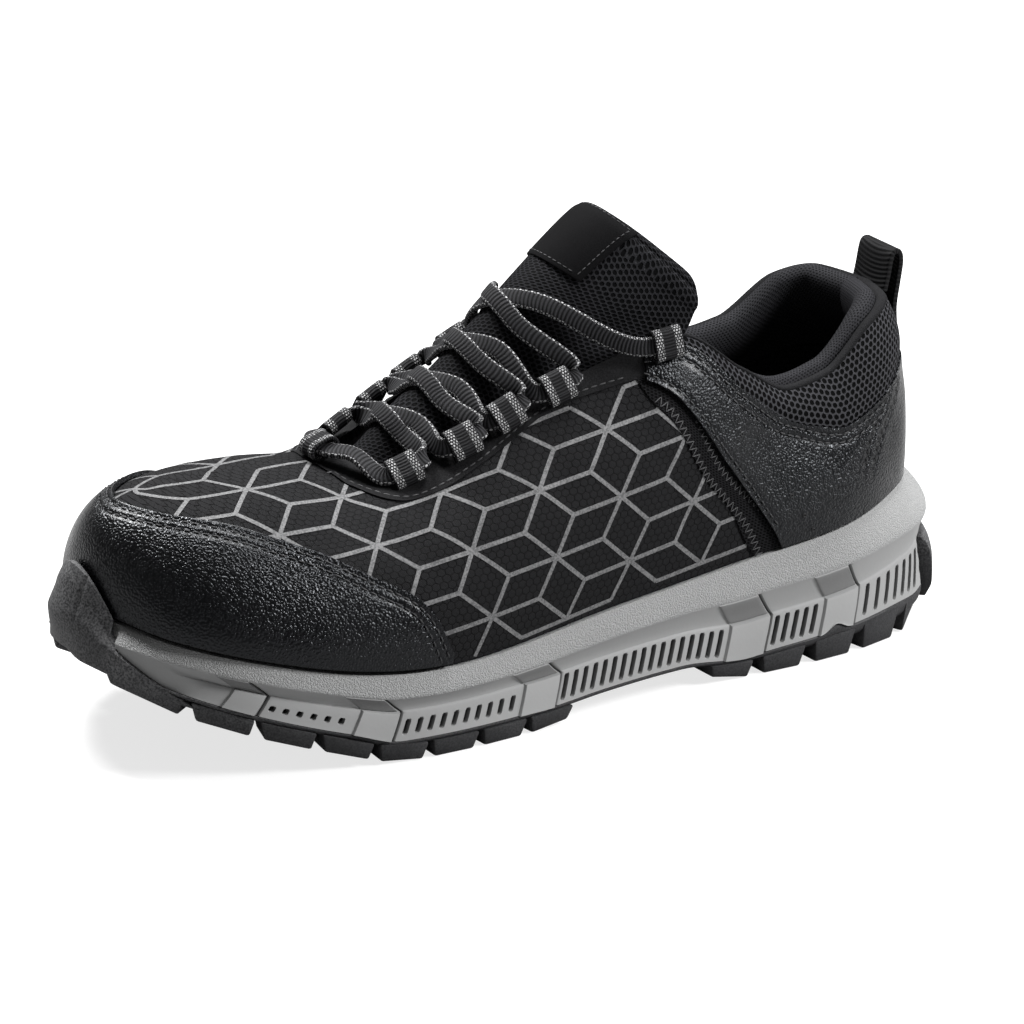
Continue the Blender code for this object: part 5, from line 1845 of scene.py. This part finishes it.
    def route(self) -> tuple[Array, Array]:
        """Path of the lace from the top lateral loop down to the front and up to the top medial one.

        Returns:
            Points of the path, and the direction of the lace's width at each.
        """
        stand = self.front_stand()
        middle = stand.foot + stand.climb * (0.5 * (self.loop_length - self.front_depth))
        tilt = math.radians(self.front_tilt)
        bar = []
        for angle in np.radians(self.bar_sweep * np.linspace(-1.0, 1.0, 5)):
            flat = np.array([math.cos(angle), -math.sin(angle), 0.0])
            spot = middle + self.bar_radius * (flat - np.array([1.0, 0.0, 0.0]))
            bar.append((spot, unit(UPWARD * math.sin(tilt) - flat * math.cos(tilt))))
        rows = self.strand(Side.LATERAL)[::-1] + bar + self.strand(Side.MEDIAL)
        return np.array([row[0] for row in rows]), np.array([row[1] for row in rows])

    def strand(self, first: Side) -> list[tuple[Array, Array]]:
        """Half of the lace from its first loop, crossing at each row, to the top loop.

        Args:
            first: side of its first loop.

        Returns:
            Points with the direction of the lace's width.
        """
        rows = []
        side = first
        final = len(self.eyelets(first)) - 1
        for number in range(final + 1):
            stand = self.stand(side, number)
            inside = 0.5 * (self.loop_length - self.loop_depth) + self.pass_lift
            middle = stand.foot + stand.climb * inside
            steps = (self.pass_reach, 0.0, -self.pass_reach)
            rows += [(middle + stand.ahead * step, stand.climb) for step in steps]
            if number == final:
                rows.pop()
                break
            start = self.eyelets(side)[number].row + self.spread
            end = self.eyelets(side.other)[number + 1].row - self.spread
            above = (first is Side.LATERAL) == (number % 2 == 0)
            for share in (0.1, 0.3, 0.5, 0.7, 0.9):
                u = np.array(start + (end - start) * share)
                s = np.array(side.sign * self.reach * (1.0 - 2.0 * share))
                hump = math.exp(-((share - 0.5) / 0.2) ** 2)
                lift = np.array(self.lift + (self.over_lift if above else self.under_lift) * hump)
                rows.append((self.tongue.over(u, s, lift), self.tongue.run(u)))
            side = side.other
        return rows

    def lace(self, material: Material) -> None:
        """One flat lace, softly rounded, through all loops."""
        points, widths = self.route()
        path = SmoothLine(points)
        log.info("lace length %.0f mm", path.at[-1])
        count = int(path.at[-1] / self.lace_step)
        at = np.linspace(0.0, path.at[-1], count)
        middle = path(at)
        run = unit(np.gradient(middle, axis=0))
        wide = sample(at, path.at, widths)
        wide = unit(wide - run * np.einsum("ij,ij->i", wide, run)[:, None])
        thick = np.cross(run, wide)

        def across(turn: Array) -> Array:
            """Place across the lace at an angle round it."""
            return swollen(np.cos(turn), 0.55) * 0.5 * self.lace_width

        def surface(turn: Array, k: Array) -> Array:
            """Lace round its path, by the number of the point."""
            index = np.rint(k).astype(int)
            rise = swollen(np.sin(turn), 0.7) * 0.5 * self.lace_thick
            return middle[index] + wide[index] * across(turn)[..., None] + thick[index] * rise[..., None]

        def chart(turn: Array, k: Array) -> Array:
            """Flat place across and along the lace."""
            return tape_chart(at[np.rint(k).astype(int)], across(turn))

        item = Bench.sheet("lace", surface, np.linspace(0.0, FULL_TURN, 25), np.arange(count), chart)
        nodes = ["lace_bar_front"] + [f"lace_cross_{k}" for k in range(1, 5)]
        hand_over(Bench.finish(item, angle=70.0), material, nodes)


@dataclass
class PullLoop:
    """Ribbed webbing loop over the back of the collar."""

    last: Last
    width: float = 17.0
    thickness: float = 1.8
    legs: tuple[tuple[float, float], ...] = ((0.60, 1.4), (0.68, 2.4), (0.76, 3.0), (0.86, 4.0), (0.96, 6.4))
    arch: tuple[tuple[float, float], ...] = (
        (12.6, 111.5), (12.4, 116.0), (13.9, 119.2), (16.5, 119.3), (18.1, 116.0), (18.8, 111.2),
        (19.8, 106.0),
    )

    def build(self) -> None:
        """Make the loop, up along the heel by share and height and over the collar by x and z."""
        up, over = np.array(self.legs).T
        leg = self.last.over(np.zeros(len(up)), up, over)
        line = SmoothLine([(x, 0.0, z) for x, z in (*leg[:, ::2], *self.arch)])

        def surface(at: Array, w: Array) -> Array:
            """Tape by the distance along it and the place across."""
            point = line(at)
            point[..., 1] = w
            return point

        across = np.linspace(-0.5 * self.width, 0.5 * self.width, 17)
        item = Bench.sheet("pull_loop_tape", surface, np.linspace(0.0, line.at[-1], 91), across, tape_chart)
        tape = RibbedWebbing("pull_webbing", self.width, rib=1.5, high=(0.006, 0.006, 0.0068))
        hand_over(Bench.finish(item, self.thickness, 0.4), tape.make(), ["pull_loop"])


class SlotGroup(NamedTuple):
    """Slots in the flare of the midsole, by section number, with their two ends in the rib zone."""

    front: float
    back: float
    count: int
    low: float
    high: float

    def middle(self, number: Array) -> Array:
        """Section number of a slot's middle."""
        return self.front + (self.back - self.front) / self.count * (number + 0.5)


class Guard(NamedTuple):
    """Rubber guard at one level: thickness and how closely it hugs the upper."""

    level: float
    thick: float
    hug: float


class Plinth(NamedTuple):
    """A guard's middle section, half span, reach behind the outline, top, the drop of its top at the
    sides, the growth of its thickness to the sides, how far its foot sweeps back along the sole and up to
    which level, and how far it reaches below the top of the outsole."""

    middle: float
    span: float
    back: float
    top: float
    drop: float
    taper: float
    sweep: float
    rim: float
    foot: float


@dataclass
class Sole:
    """Foam midsole with its ribbed flare, rubber outsole with guards and lugs, and the insole."""

    last: Last
    joint: float = 0.5
    rim_gap: float = 0.4
    rim_margin: float = 0.9
    rib_tall: float = 9.0
    slot_width: float = 1.7
    slot_depth: float = 2.4
    block_step: float = 0.9
    plate_step: float = 0.45
    slot_lean: float = 3.9
    plate_lean: float = 6.2
    base: float = 2.0
    plate_lap: float = 0.35
    tuck: float = 0.6
    lug_height: float = 5.0
    lug_root: float = 1.0
    lug_length: float = 15.5
    lug_band: float = 15.0
    lug_side: float = -0.2
    lug_pitch: float = 19.5
    lug_gap: float = 4.0
    insole_gap: float = 0.3
    insole_thick: float = 4.0
    notch: float = 2.6
    notch_x: float = 56.0
    notch_width: float = 3.6
    lug_runs: tuple[tuple[float, float], ...] = ((7.5, 104.0), (160.0, 303.0))
    blocks: tuple[tuple[float, float], ...] = (
        (10.27, 9.90), (8.86, 8.44), (6.91, 6.48), (4.37, 3.90), (3.22, 2.78),
    )
    slots: tuple[SlotGroup, ...] = (
        SlotGroup(9.84, 8.95, 6, 0.34, 0.60), SlotGroup(8.38, 6.96, 10, 0.22, 0.72),
        SlotGroup(6.44, 4.41, 17, 0.12, 0.92), SlotGroup(3.85, 3.27, 5, 0.12, 0.92),
        SlotGroup(2.70, 1.46, 7, 0.12, 0.92),
    )
    zones: tuple[tuple[float, float], ...] = (
        (0.0, 0.2), (0.94, -2.0), (1.0, -2.25), (1.08, -2.7), (1.9, -1.15), (2.0, -0.8), (2.1, -0.7),
        (3.0, -0.7),
    )
    plate_edge: tuple[tuple[float, float], ...] = (
        (-3.0, 0.0), (-1.6, 0.12), (-0.2, 0.4), (0.45, 0.72), (0.5, 0.9), (0.1, 1.0), (-1.6, 1.0),
    )
    insole_edge: tuple[tuple[float, float], ...] = ((5.0, 0.0), (4.6, 0.6), (4.8, 0.85), (5.4, 1.0))
    toe_guard: tuple[Guard, ...] = (
        Guard(0.0, 1.6, 0.0), Guard(0.3, 3.6, 0.0), Guard(0.42, 4.2, 0.0), Guard(0.55, 4.5, 0.35),
        Guard(0.8, 4.0, 0.9), Guard(1.0, 1.5, 1.0),
    )
    heel_guard: tuple[Guard, ...] = (
        Guard(0.0, 2.1, 0.0), Guard(0.25, 3.1, 0.0), Guard(0.6, 2.9, 0.0), Guard(0.85, 2.2, 0.0),
        Guard(1.0, 1.0, 0.0),
    )
    toe_plinth: Plinth = Plinth(LAST + 0.08, 0.98, 3.7, 56.5, 12.5, -0.6, 1.45, 0.85, 2.4)
    heel_plinth: Plinth = Plinth(0.0, 1.2, 3.1, 30.5, 3.0, 0.9, 0.0, 1.0, 6.5)

    def __post_init__(self) -> None:
        """Make the side view curves."""
        self.tread = SteadyLine(
            (0, 7, 20, 88, 116, 146, 174, 222, 240, 268, 290, 303, 312),
            (9.6, 4.8, 0.3, 0.0, 4.5, 3.5, 0.0, 0.0, 4.6, 12.8, 20.2, 25.6, 28.5),
        )
        self.depth = SteadyLine(
            (0, 24, 52, 84, 116, 146, 176, 312), (11.2, 11.4, 9.4, 7.2, 4.4, 4.6, 6.8, 6.8)
        )
        self.bed = SteadyLine(
            (0, 24, 52, 84, 116, 148, 180, 210, 240, 268, 290, 312),
            (38.0, 35.5, 32.5, 29.5, 27.5, 25.0, 22.3, 21.2, 24.0, 30.0, 34.8, 38.2),
        )
        self.side = SteadyLine(*zip(*self.zones))

    def outsole_top(self, x: Array) -> Array:
        """Height of the joint between outsole and midsole, notched at the heel breast."""
        return self.seam(x) + self.notch * np.exp(-((x - self.notch_x) / self.notch_width) ** 2)

    def seam(self, x: Array) -> Array:
        """Height of that joint without the notch."""
        return self.tread(x) + self.depth(x)

    def behind_guard(self, r: Array, heel_share: Array | float = 1.0) -> Array:
        """How far the sole draws in behind the guards.

        Args:
            r: section numbers.
            heel_share: share of the draw behind the heel guard.

        Returns:
            Distance inward.
        """
        past = np.mod(r, RING) - self.toe_plinth.middle
        toe = 1.0 - ease(np.abs(past), 1.02, 1.18)
        medial = (past > 0.0) * (1.0 - ease(past, 1.2, 2.6))
        heel = 1.0 - ease(from_heel(r), 1.26, 1.47)
        return np.maximum(4.6 * toe, 3.2 * medial) + 4.0 * heel * heel_share

    def level(self, r: Array, q: Array) -> Array:
        """Share of the midsole's height at a zone number: ribs to 1, bevel to 2, band to 3."""
        far = ease(from_heel(r), 3.0, 8.0)
        rib = 0.335 + 0.075 * far + 0.08 * (1.0 - ease(from_heel(r), 1.2, 2.8))
        bevel = 0.63 + 0.01 * far
        low = np.where(q < 1.0, rib * q, rib + (bevel - rib) * (q - 1.0))
        return np.where(q < 2.0, low, bevel + (1.0 - bevel) * (q - 2.0))

    def carve(self, r: Array, q: Array, run: Array) -> tuple[Array, Array, Array]:
        """Relief of the flare in the sheared section numbers.

        Args:
            r: section numbers before the lean.
            q: zone numbers.
            run: millimetres along the outline for one section number.

        Returns:
            Height of the relief, share of painted slot shade and share of painted plate shade.
        """
        section = from_heel(r)
        slot = np.zeros_like(section)
        plate = np.zeros_like(section)
        half = 0.5 * self.slot_width
        for group in self.slots:
            pitch = (group.back - group.front) / group.count
            number = np.clip(np.floor((section - group.front) / pitch), 0, group.count - 1)
            across = np.abs(section - group.middle(number)) * run
            beyond = np.maximum(np.maximum(group.low - q, q - group.high) * self.rib_tall + half, 0.0)
            reach = np.where(beyond > 0.0, np.hypot(across, beyond), across)
            # painted shade: the slot share paints the slots near black
            slot = np.maximum(slot, 1.0 - ease(reach, 0.44 * self.slot_width, 0.56 * self.slot_width))
        relief = -self.slot_depth * slot
        for front, back in self.blocks:
            inside = 0.5 * (front - back) * run - np.abs(section - 0.5 * (front + back)) * run
            on = ease(inside, -0.25, 0.25)
            # painted shade: the plate share paints the block faces darker
            window = on * ease(q, 1.06, 1.10) * (1.0 - ease(q, 1.92, 1.97))
            plate = np.maximum(plate, window)
            # painted shadow: a dark line just behind each block's step, which is also grooved
            line = np.exp(-(((section - back) * run + 0.75) / 0.42) ** 2) * (1.0 - ease(q, 1.93, 2.0))
            slot = np.maximum(slot, 0.85 * line)
            relief += on * self.block_step * (1.0 - ease(q, 1.0, 1.06)) + window * self.plate_step - line
        return relief, slot, plate

    def build(self) -> None:
        """Make midsole, outsole and insole."""
        self.midsole(MouldedFoam().make())
        self.outsole(MouldedRubber().make())
        self.insole(PlainCloth("insole_cloth", grain=0.5, high=(0.06, 0.06, 0.065)).make())

    @staticmethod
    def middle(points: Array) -> Array:
        """Points of a row round the sole drawn together with those across the shoe."""
        return 0.5 * (points + points[:, ::-1])

    def flare(self, q: Array, r: Array) -> tuple[Array, dict[str, Array]]:
        """Side of the midsole.

        Args:
            q: zone numbers from 0 to 3.
            r: section numbers before the lean.

        Returns:
            Points, and the shares of painted slot shade and painted plate shade by their names.
        """
        last = self.last
        far = from_heel(r)
        run = last.pace(r)
        kink = np.where(q < 1.0, self.slot_lean * (1.0 - q), self.plate_lean * (q - 1.0))
        fade = ease(far, 0.6, 1.6) * (1.0 - ease(far, LAST - 1.6, LAST - 0.6)) * (1.0 - ease(q, 2.0, 2.8))
        place = r + last.hand(r) * np.minimum(kink, self.plate_lean) * fade / run
        relief, slot, plate = self.carve(r, q, run)
        plain = ease(far, 10.55, 11.0) * (1.0 - ease(q, 1.9, 2.1))
        drawn = self.behind_guard(place, 1.0 - ease(q, 0.8, 1.1))
        out = self.side(q) * (1.0 - plain) - 0.9 * plain - drawn + relief
        share = np.clip(q - 2.0, 0.0, 1.0) ** 1.5
        edge = last.outline(place, out + share * (self.rim_margin - last.inset(place) - out))
        low = self.seam(edge[..., 0]) + self.joint
        high = last.feather_z(place) - self.rim_gap
        lowest = self.outsole_top(edge[..., 0]) + self.joint
        edge[..., 2] = np.maximum(low + self.level(place, q) * (high - low), lowest)
        return edge, {"slot": slot, "plate": plate}

    def midsole(self, material: Material) -> None:
        """Cup with a ribbed, stepped side and a sunk foot bed, in one grid around the shoe."""
        bevel = (1.03, 1.06, 1.1, 1.3, 1.5, 1.7, 1.9, 1.94, 1.97, 2.0)
        band = np.linspace(2.08, 3.0, 11)
        rows = np.concatenate([[-1.0], np.linspace(0.0, 1.0, 29), bevel, band, [4.0, 5.0, 6.0]])
        marks: dict[str, Array] = {}

        def surface(q: Array, r: Array) -> Array:
            """Underside, side, rim and foot bed by the row; the shares of painted shade and of stipple for
            the finish go into marks.
            """
            edge, shares = self.flare(np.clip(q, 0.0, 3.0), r)
            wall = self.last.inset(r) + self.last.wall
            rim = self.last.outline(r, -wall - 1.2)
            rim[..., 2] = self.last.feather_z(r) - self.rim_gap
            foot = self.last.outline(r, -wall - 4.0)
            foot[..., 2] = self.bed(foot[..., 0])
            result = np.where((q < -0.5)[..., None], self.middle(edge), edge)
            for level, points in ((3.5, rim), (4.5, foot), (5.5, self.middle(foot))):
                result = np.where((q > level)[..., None], points, result)
            for name, share in shares.items():
                marks[name] = share * ((q >= 0.0) & (q <= 3.0))
            marks["stipple"] = ease(q, 1.98, 2.06) * (q <= 3.0)
            return result

        item = Bench.sheet("midsole_foam", surface, rows, self.rib_columns())
        for name, values in marks.items():
            Bench.mark(item, name, values)
        Bench.weld(item)
        Bench.smooth(item, 32.0)
        hand_over(item, material, ["midsole"])

    def rib_columns(self) -> Array:
        """Section numbers evenly around the sole, with closer ones at the sides of slots and blocks."""
        close = np.linspace(0.0, RING, 8001)
        run = self.last.pace(close)
        along = np.concatenate([[0.0], np.cumsum(0.5 * (run[1:] + run[:-1]) * np.diff(close))])
        even = np.interp(np.linspace(0.0, along[-1], 561), along, close)
        marks = []
        for group in self.slots:
            middle = group.middle(np.arange(group.count))
            width = self.slot_width / self.last.pace(middle)
            marks += [middle + width * share for share in (-0.57, -0.44, -0.2, 0.2, 0.44, 0.57)]
        for front, back in self.blocks:
            marks.append(front + np.array([-0.3, -0.1, 0.1, 0.3]) / self.last.pace(front))
            marks.append(back + np.array([-1.5, -1.1, -0.75, -0.4, -0.1, 0.1, 0.3]) / self.last.pace(back))
        near = np.concatenate(marks)
        return np.unique(np.round(np.concatenate([even, near, RING - near]), 5))

    def outsole(self, material: Material) -> None:
        """Plate, guards and lugs, joined."""
        toe = self.guard("toe_guard", self.toe_guard, self.toe_plinth)
        heel = self.guard("heel_guard", self.heel_guard, self.heel_plinth)
        item = Bench.join("outsole_rubber", [self.plate(), toe, heel, self.lugs()])
        Bench.smooth(item, 35.0)
        hand_over(item, material, ["outsole"])

    def slab(self, name: str, rows: Sequence[Sequence[float]], edge: Surface, columns: int) -> Item:
        """Flat piece round the sole, drawn together across its underside and its top.

        Args:
            name: name of the piece.
            rows: numbers of each row of its edge.
            edge: gives the points of the edge for those numbers and section numbers.
            columns: how many columns its grid has.

        Returns:
            The welded piece.
        """
        table = np.array(rows)

        def surface(k: Array, r: Array) -> Array:
            """Edge by the row, with a row in the middle before and after it."""
            points = edge(table[np.clip(np.rint(k).astype(int) - 1, 0, len(rows) - 1)], r)
            inner = (k < 0.5) | (k > len(rows) + 0.5)
            return np.where(inner[..., None], self.middle(points), points)

        item = Bench.sheet(name, surface, np.arange(len(rows) + 2), np.linspace(0.0, RING, columns))
        Bench.weld(item)
        return item

    def plate(self) -> Item:
        """Base plate under the midsole, with a rounded edge."""
        def edge(row: Array, r: Array) -> Array:
            """Edge by its reach outward and its share of the plate's height."""
            points = self.last.outline(r, row[..., 0] - self.tuck * self.behind_guard(r))
            top = self.outsole_top(points[..., 0]) + self.plate_lap
            low = np.minimum(self.tread(points[..., 0]) + self.lug_height, top - self.base)
            points[..., 2] = low + row[..., 1] * (top - low)
            return points

        return self.slab("outsole_plate", self.plate_edge, edge, 313)

    def insole(self, material: Material) -> None:
        """Insole lying in the foot bed."""
        def edge(row: Array, r: Array) -> Array:
            """Edge by its reach inward and its share of the insole's height."""
            points = self.last.outline(r, -self.last.inset(r) - self.last.wall - row[..., 0])
            points[..., 2] = self.bed(points[..., 0]) + self.insole_gap + row[..., 1] * self.insole_thick
            return points

        item = self.slab("insole_board", self.insole_edge, edge, 209)
        Bench.smooth(item)
        hand_over(item, material, ["insole"])

    def guard(self, name: str, rows: Sequence[Guard], plinth: Plinth) -> Item:
        """Rubber guard standing on the outsole.

        Args:
            name: name of the piece.
            rows: its thickness and hug by level.
            plinth: its place and height.

        Returns:
            The guard, open nowhere.
        """
        thick = SteadyLine([row.level for row in rows], [row.thick for row in rows])
        hug = SteadyLine([row.level for row in rows], [row.hug for row in rows])
        levels = np.linspace(0.0, 1.0, 21)
        loop = np.concatenate([levels, levels[::-1], levels[:1]])
        face = np.concatenate([np.ones(21), np.zeros(21), np.ones(1)])

        def surface(k: Array, r: Array) -> Array:
            """Guard up its outer face and down its inner one, by the number of the row."""
            index = np.rint(k).astype(int)
            level = loop[index]
            aside = ((r - plinth.middle) / plinth.span) ** 2
            shift = (r - plinth.middle) * plinth.sweep * np.clip(1.0 - level / plinth.rim, 0.0, 1.0) ** 2
            r = r + shift
            close = hug(level)
            inner = -plinth.back * (1.0 - close) - (self.last.inset(r) - 3.0) * close
            line = np.exp(-(((np.abs(r - plinth.middle) - 0.42) / 0.035) ** 2))
            ridge = 0.5 * line * ease(level, 0.3, 0.45)
            growth = 1.0 + plinth.taper * (1.0 - np.exp(-3.0 * aside))
            out = inner + face[index] * (thick(level) * growth - ridge)
            rim = np.where(shift < 0.0, 0.5, -1.8)
            out = out + face[index] * np.maximum(rim - out, 0.0) * ease(np.abs(shift), 0.05, 0.4)
            point = self.last.outline(r, out)
            low = self.outsole_top(self.last.outline(r, np.full_like(r, -2.0))[..., 0]) - plinth.foot
            point[..., 2] = low + level * (plinth.top - plinth.drop * aside - low)
            return point

        sections = np.linspace(plinth.middle - plinth.span, plinth.middle + plinth.span, 97)
        item = Bench.sheet(name, surface, np.arange(len(loop)), sections)
        Bench.weld(item)
        Bench.close_ends(item)
        Bench.soften(item, 0.5)
        return item

    def lugs(self) -> Item:
        """Tapered lugs along both edges, and staggered pairs between them."""
        places = np.linspace(0.0, LAST, 2601)
        reach = self.last.sole_x(places)
        outs = -np.array([self.lug_side, self.lug_side, self.lug_band, self.lug_band])
        plans = []
        for first, final in self.lug_runs:
            room = final - first - self.lug_length
            count = round(room / self.lug_pitch) + 1
            for k in range(count):
                start = first + k * room / (count - 1)
                back, front = np.interp([start, start + self.lug_length], reach, places)
                for one, two in ((back, front), (RING - front, RING - back)):
                    sections = np.array([one, two, two, one])
                    plans.append(self.last.outline(sections, outs - self.tuck * self.behind_guard(sections)))
                if k < count - 1:
                    plans += self.middle_lugs(start + 0.5 * self.lug_pitch, places, reach)
        item = Bench.join("outsole_lugs", [self.lug(plan) for plan in plans])
        Bench.soften(item, 0.8)
        return item

    def middle_lugs(self, start: float, places: Array, reach: Array) -> list[Array]:
        """Plans of a pair of lugs in the middle of the sole.

        Args:
            start: distance of their back from the heel.
            places, reach: section numbers and their distances from the heel.

        Returns:
            Four corners of each.
        """
        end = start + self.lug_length
        r = np.interp(0.5 * (start + end), reach, places)
        edge = np.array(-self.lug_band - self.lug_gap)
        outer = float(self.last.outline(r, edge)[1])
        inner = float(self.last.outline(RING - r, edge)[1])
        middle = 0.5 * (outer + inner)
        return [
            np.array([(start, low, 0), (end, low, 0), (end, high, 0), (start, high, 0)], float)
            for low, high in ((inner, middle - 2.2), (middle + 2.2, outer))
        ]

    def lug(self, plan: Array) -> Item:
        """One lug that narrows towards the floor, from the four corners of its plan."""
        item = Bench.start(bpy.ops.mesh.primitive_cube_add, size=2.0)
        centre = plan.mean(axis=0)
        corners = sorted((math.atan2(y, x), k) for k, (x, y, _) in enumerate(plan - centre))
        for vertex in item.data.vertices:
            angle = math.atan2(vertex.co.y, vertex.co.x)
            gaps = [abs(math.remainder(angle - other, FULL_TURN)) for other, _ in corners]
            spot = plan[corners[int(np.argmin(gaps))][1]]
            low = vertex.co.z < 0.0
            place = centre + (spot - centre) * (0.9 if low else 1.08)
            height = self.tread(place[0]) if low else self.outsole_top(place[0]) - self.lug_root
            vertex.co = to_frame(np.array([place[0], place[1], float(height)]))
        return item


@dataclass
class Stage:
    """Pale floor, soft studio light and the camera at the photograph's angle."""

    azimuth: float = 146.658
    elevation: float = 19.495
    roll: float = 2.399
    distance: float = 1950.957
    focal: float = 6334.969
    pixels: float = 1024.0
    sensor: float = 36.0
    aside: float = 2.674
    above: float = -8.455
    centre: Spot = (154.0, 0.0, 60.0)
    fill: float = 0.17

    def build(self) -> None:
        """Make floor, lights and camera."""
        self.floor()
        self.camera()
        self.world()
        self.lamp("top_light", (-0.3, -0.15, 1.45), (0.0, 0.0, 0.05), 0.6, 26.0)
        self.lamp("heel_light", (-0.98, 0.8, 0.9), (-0.05, 0.0, 0.04), 0.42, 34.0)
        self.lamp("toe_light", (0.18, -0.85, 1.15), (0.1, 0.0, 0.05), 0.38, 33.0)
        bpy.context.scene.view_settings.view_transform = "Standard"

    def floor(self) -> None:
        """Wide plane under the tread."""
        item = Bench.start(bpy.ops.mesh.primitive_plane_add, size=8.0)
        item.name = "floor"
        item.data.materials.append(PaleFloor().make())

    def camera(self) -> None:
        """Camera fitted to the photograph, with its roll."""
        turn = math.radians(self.azimuth)
        tilt = math.radians(self.elevation)
        back = np.array([math.sin(turn) * math.cos(tilt), -math.cos(turn) * math.cos(tilt), math.sin(tilt)])
        centre = np.array(self.centre)
        spot = centre + back * self.distance
        right = unit(np.cross(-back, UPWARD))
        target = centre + self.aside * right + self.above * np.cross(right, -back)
        forward = unit(target - spot)
        right = unit(np.cross(forward, UPWARD))
        up = np.cross(right, forward)
        roll = math.radians(self.roll)
        turned = math.cos(roll) * right + math.sin(roll) * up
        up = math.cos(roll) * up - math.sin(roll) * right
        data = bpy.data.cameras.new("camera")
        data.sensor_width = self.sensor
        data.lens = self.focal / self.pixels * self.sensor
        data.clip_start = 0.05
        item = Bench.place("camera", data)
        axes = Matrix([[turned[k], up[k], -forward[k]] for k in range(3)]).to_4x4()
        item.matrix_world = Matrix.Translation(Vector(to_frame(spot))) @ axes
        bpy.context.scene.camera = item

    def world(self) -> None:
        """White surroundings, of which the shoe gets only a share of the light."""
        world = bpy.data.worlds.new("studio")
        world.use_nodes = True
        tree = world.node_tree
        seen = tree.nodes.new("ShaderNodeLightPath")
        share = tree.nodes.new("ShaderNodeMapRange")
        share.inputs["To Min"].default_value = self.fill
        tree.links.new(seen.outputs["Is Camera Ray"], share.inputs["Value"])
        tree.links.new(share.outputs["Result"], tree.nodes["Background"].inputs["Strength"])
        tree.nodes["Background"].inputs["Color"].default_value = (1.0, 1.0, 1.0, 1.0)
        bpy.context.scene.world = world

    def lamp(self, name: str, spot: Spot, target: Spot, size: float, power: float) -> None:
        """Soft square light.

        Args:
            name: name of the light.
            spot, target: where it stands and the point it is aimed at, in metres.
            size: side of its square in metres.
            power: watts.
        """
        data = bpy.data.lights.new(name, "AREA")
        data.size = size
        data.energy = power
        aim = (Vector(target) - Vector(spot)).to_track_quat("-Z", "Y").to_matrix().to_4x4()
        Bench.place(name, data).matrix_world = Matrix.Translation(Vector(spot)) @ aim


def main() -> None:
    """Build the shoe's pieces in order, then the stage."""
    logging.basicConfig(level=logging.INFO, format="%(name)s %(message)s")
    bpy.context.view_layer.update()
    last = Last()
    needle = Needlework(last)
    tongue = Tongue()
    Stage().build()
    Upper(last, needle).build()
    Panels(last, needle).build()
    Collar(last).build()
    tongue.build(needle)
    Lacing(last, tongue).build()
    PullLoop(last).build()
    Sole(last).build()
    thread = Thread("dark_thread", (0.030, 0.030, 0.032)).make()
    pale = Thread("zigzag_thread", (0.05, 0.05, 0.052)).make()
    needle.make(Seam.PANEL, thread, Slot.LEATHER, needle.radius)
    needle.make(Seam.ZIGZAG, pale, Slot.CLOTH, 0.2)
    needle.make(Seam.LABEL, thread, Slot.LABEL, 0.18)


if __name__ == "__main__":
    main()
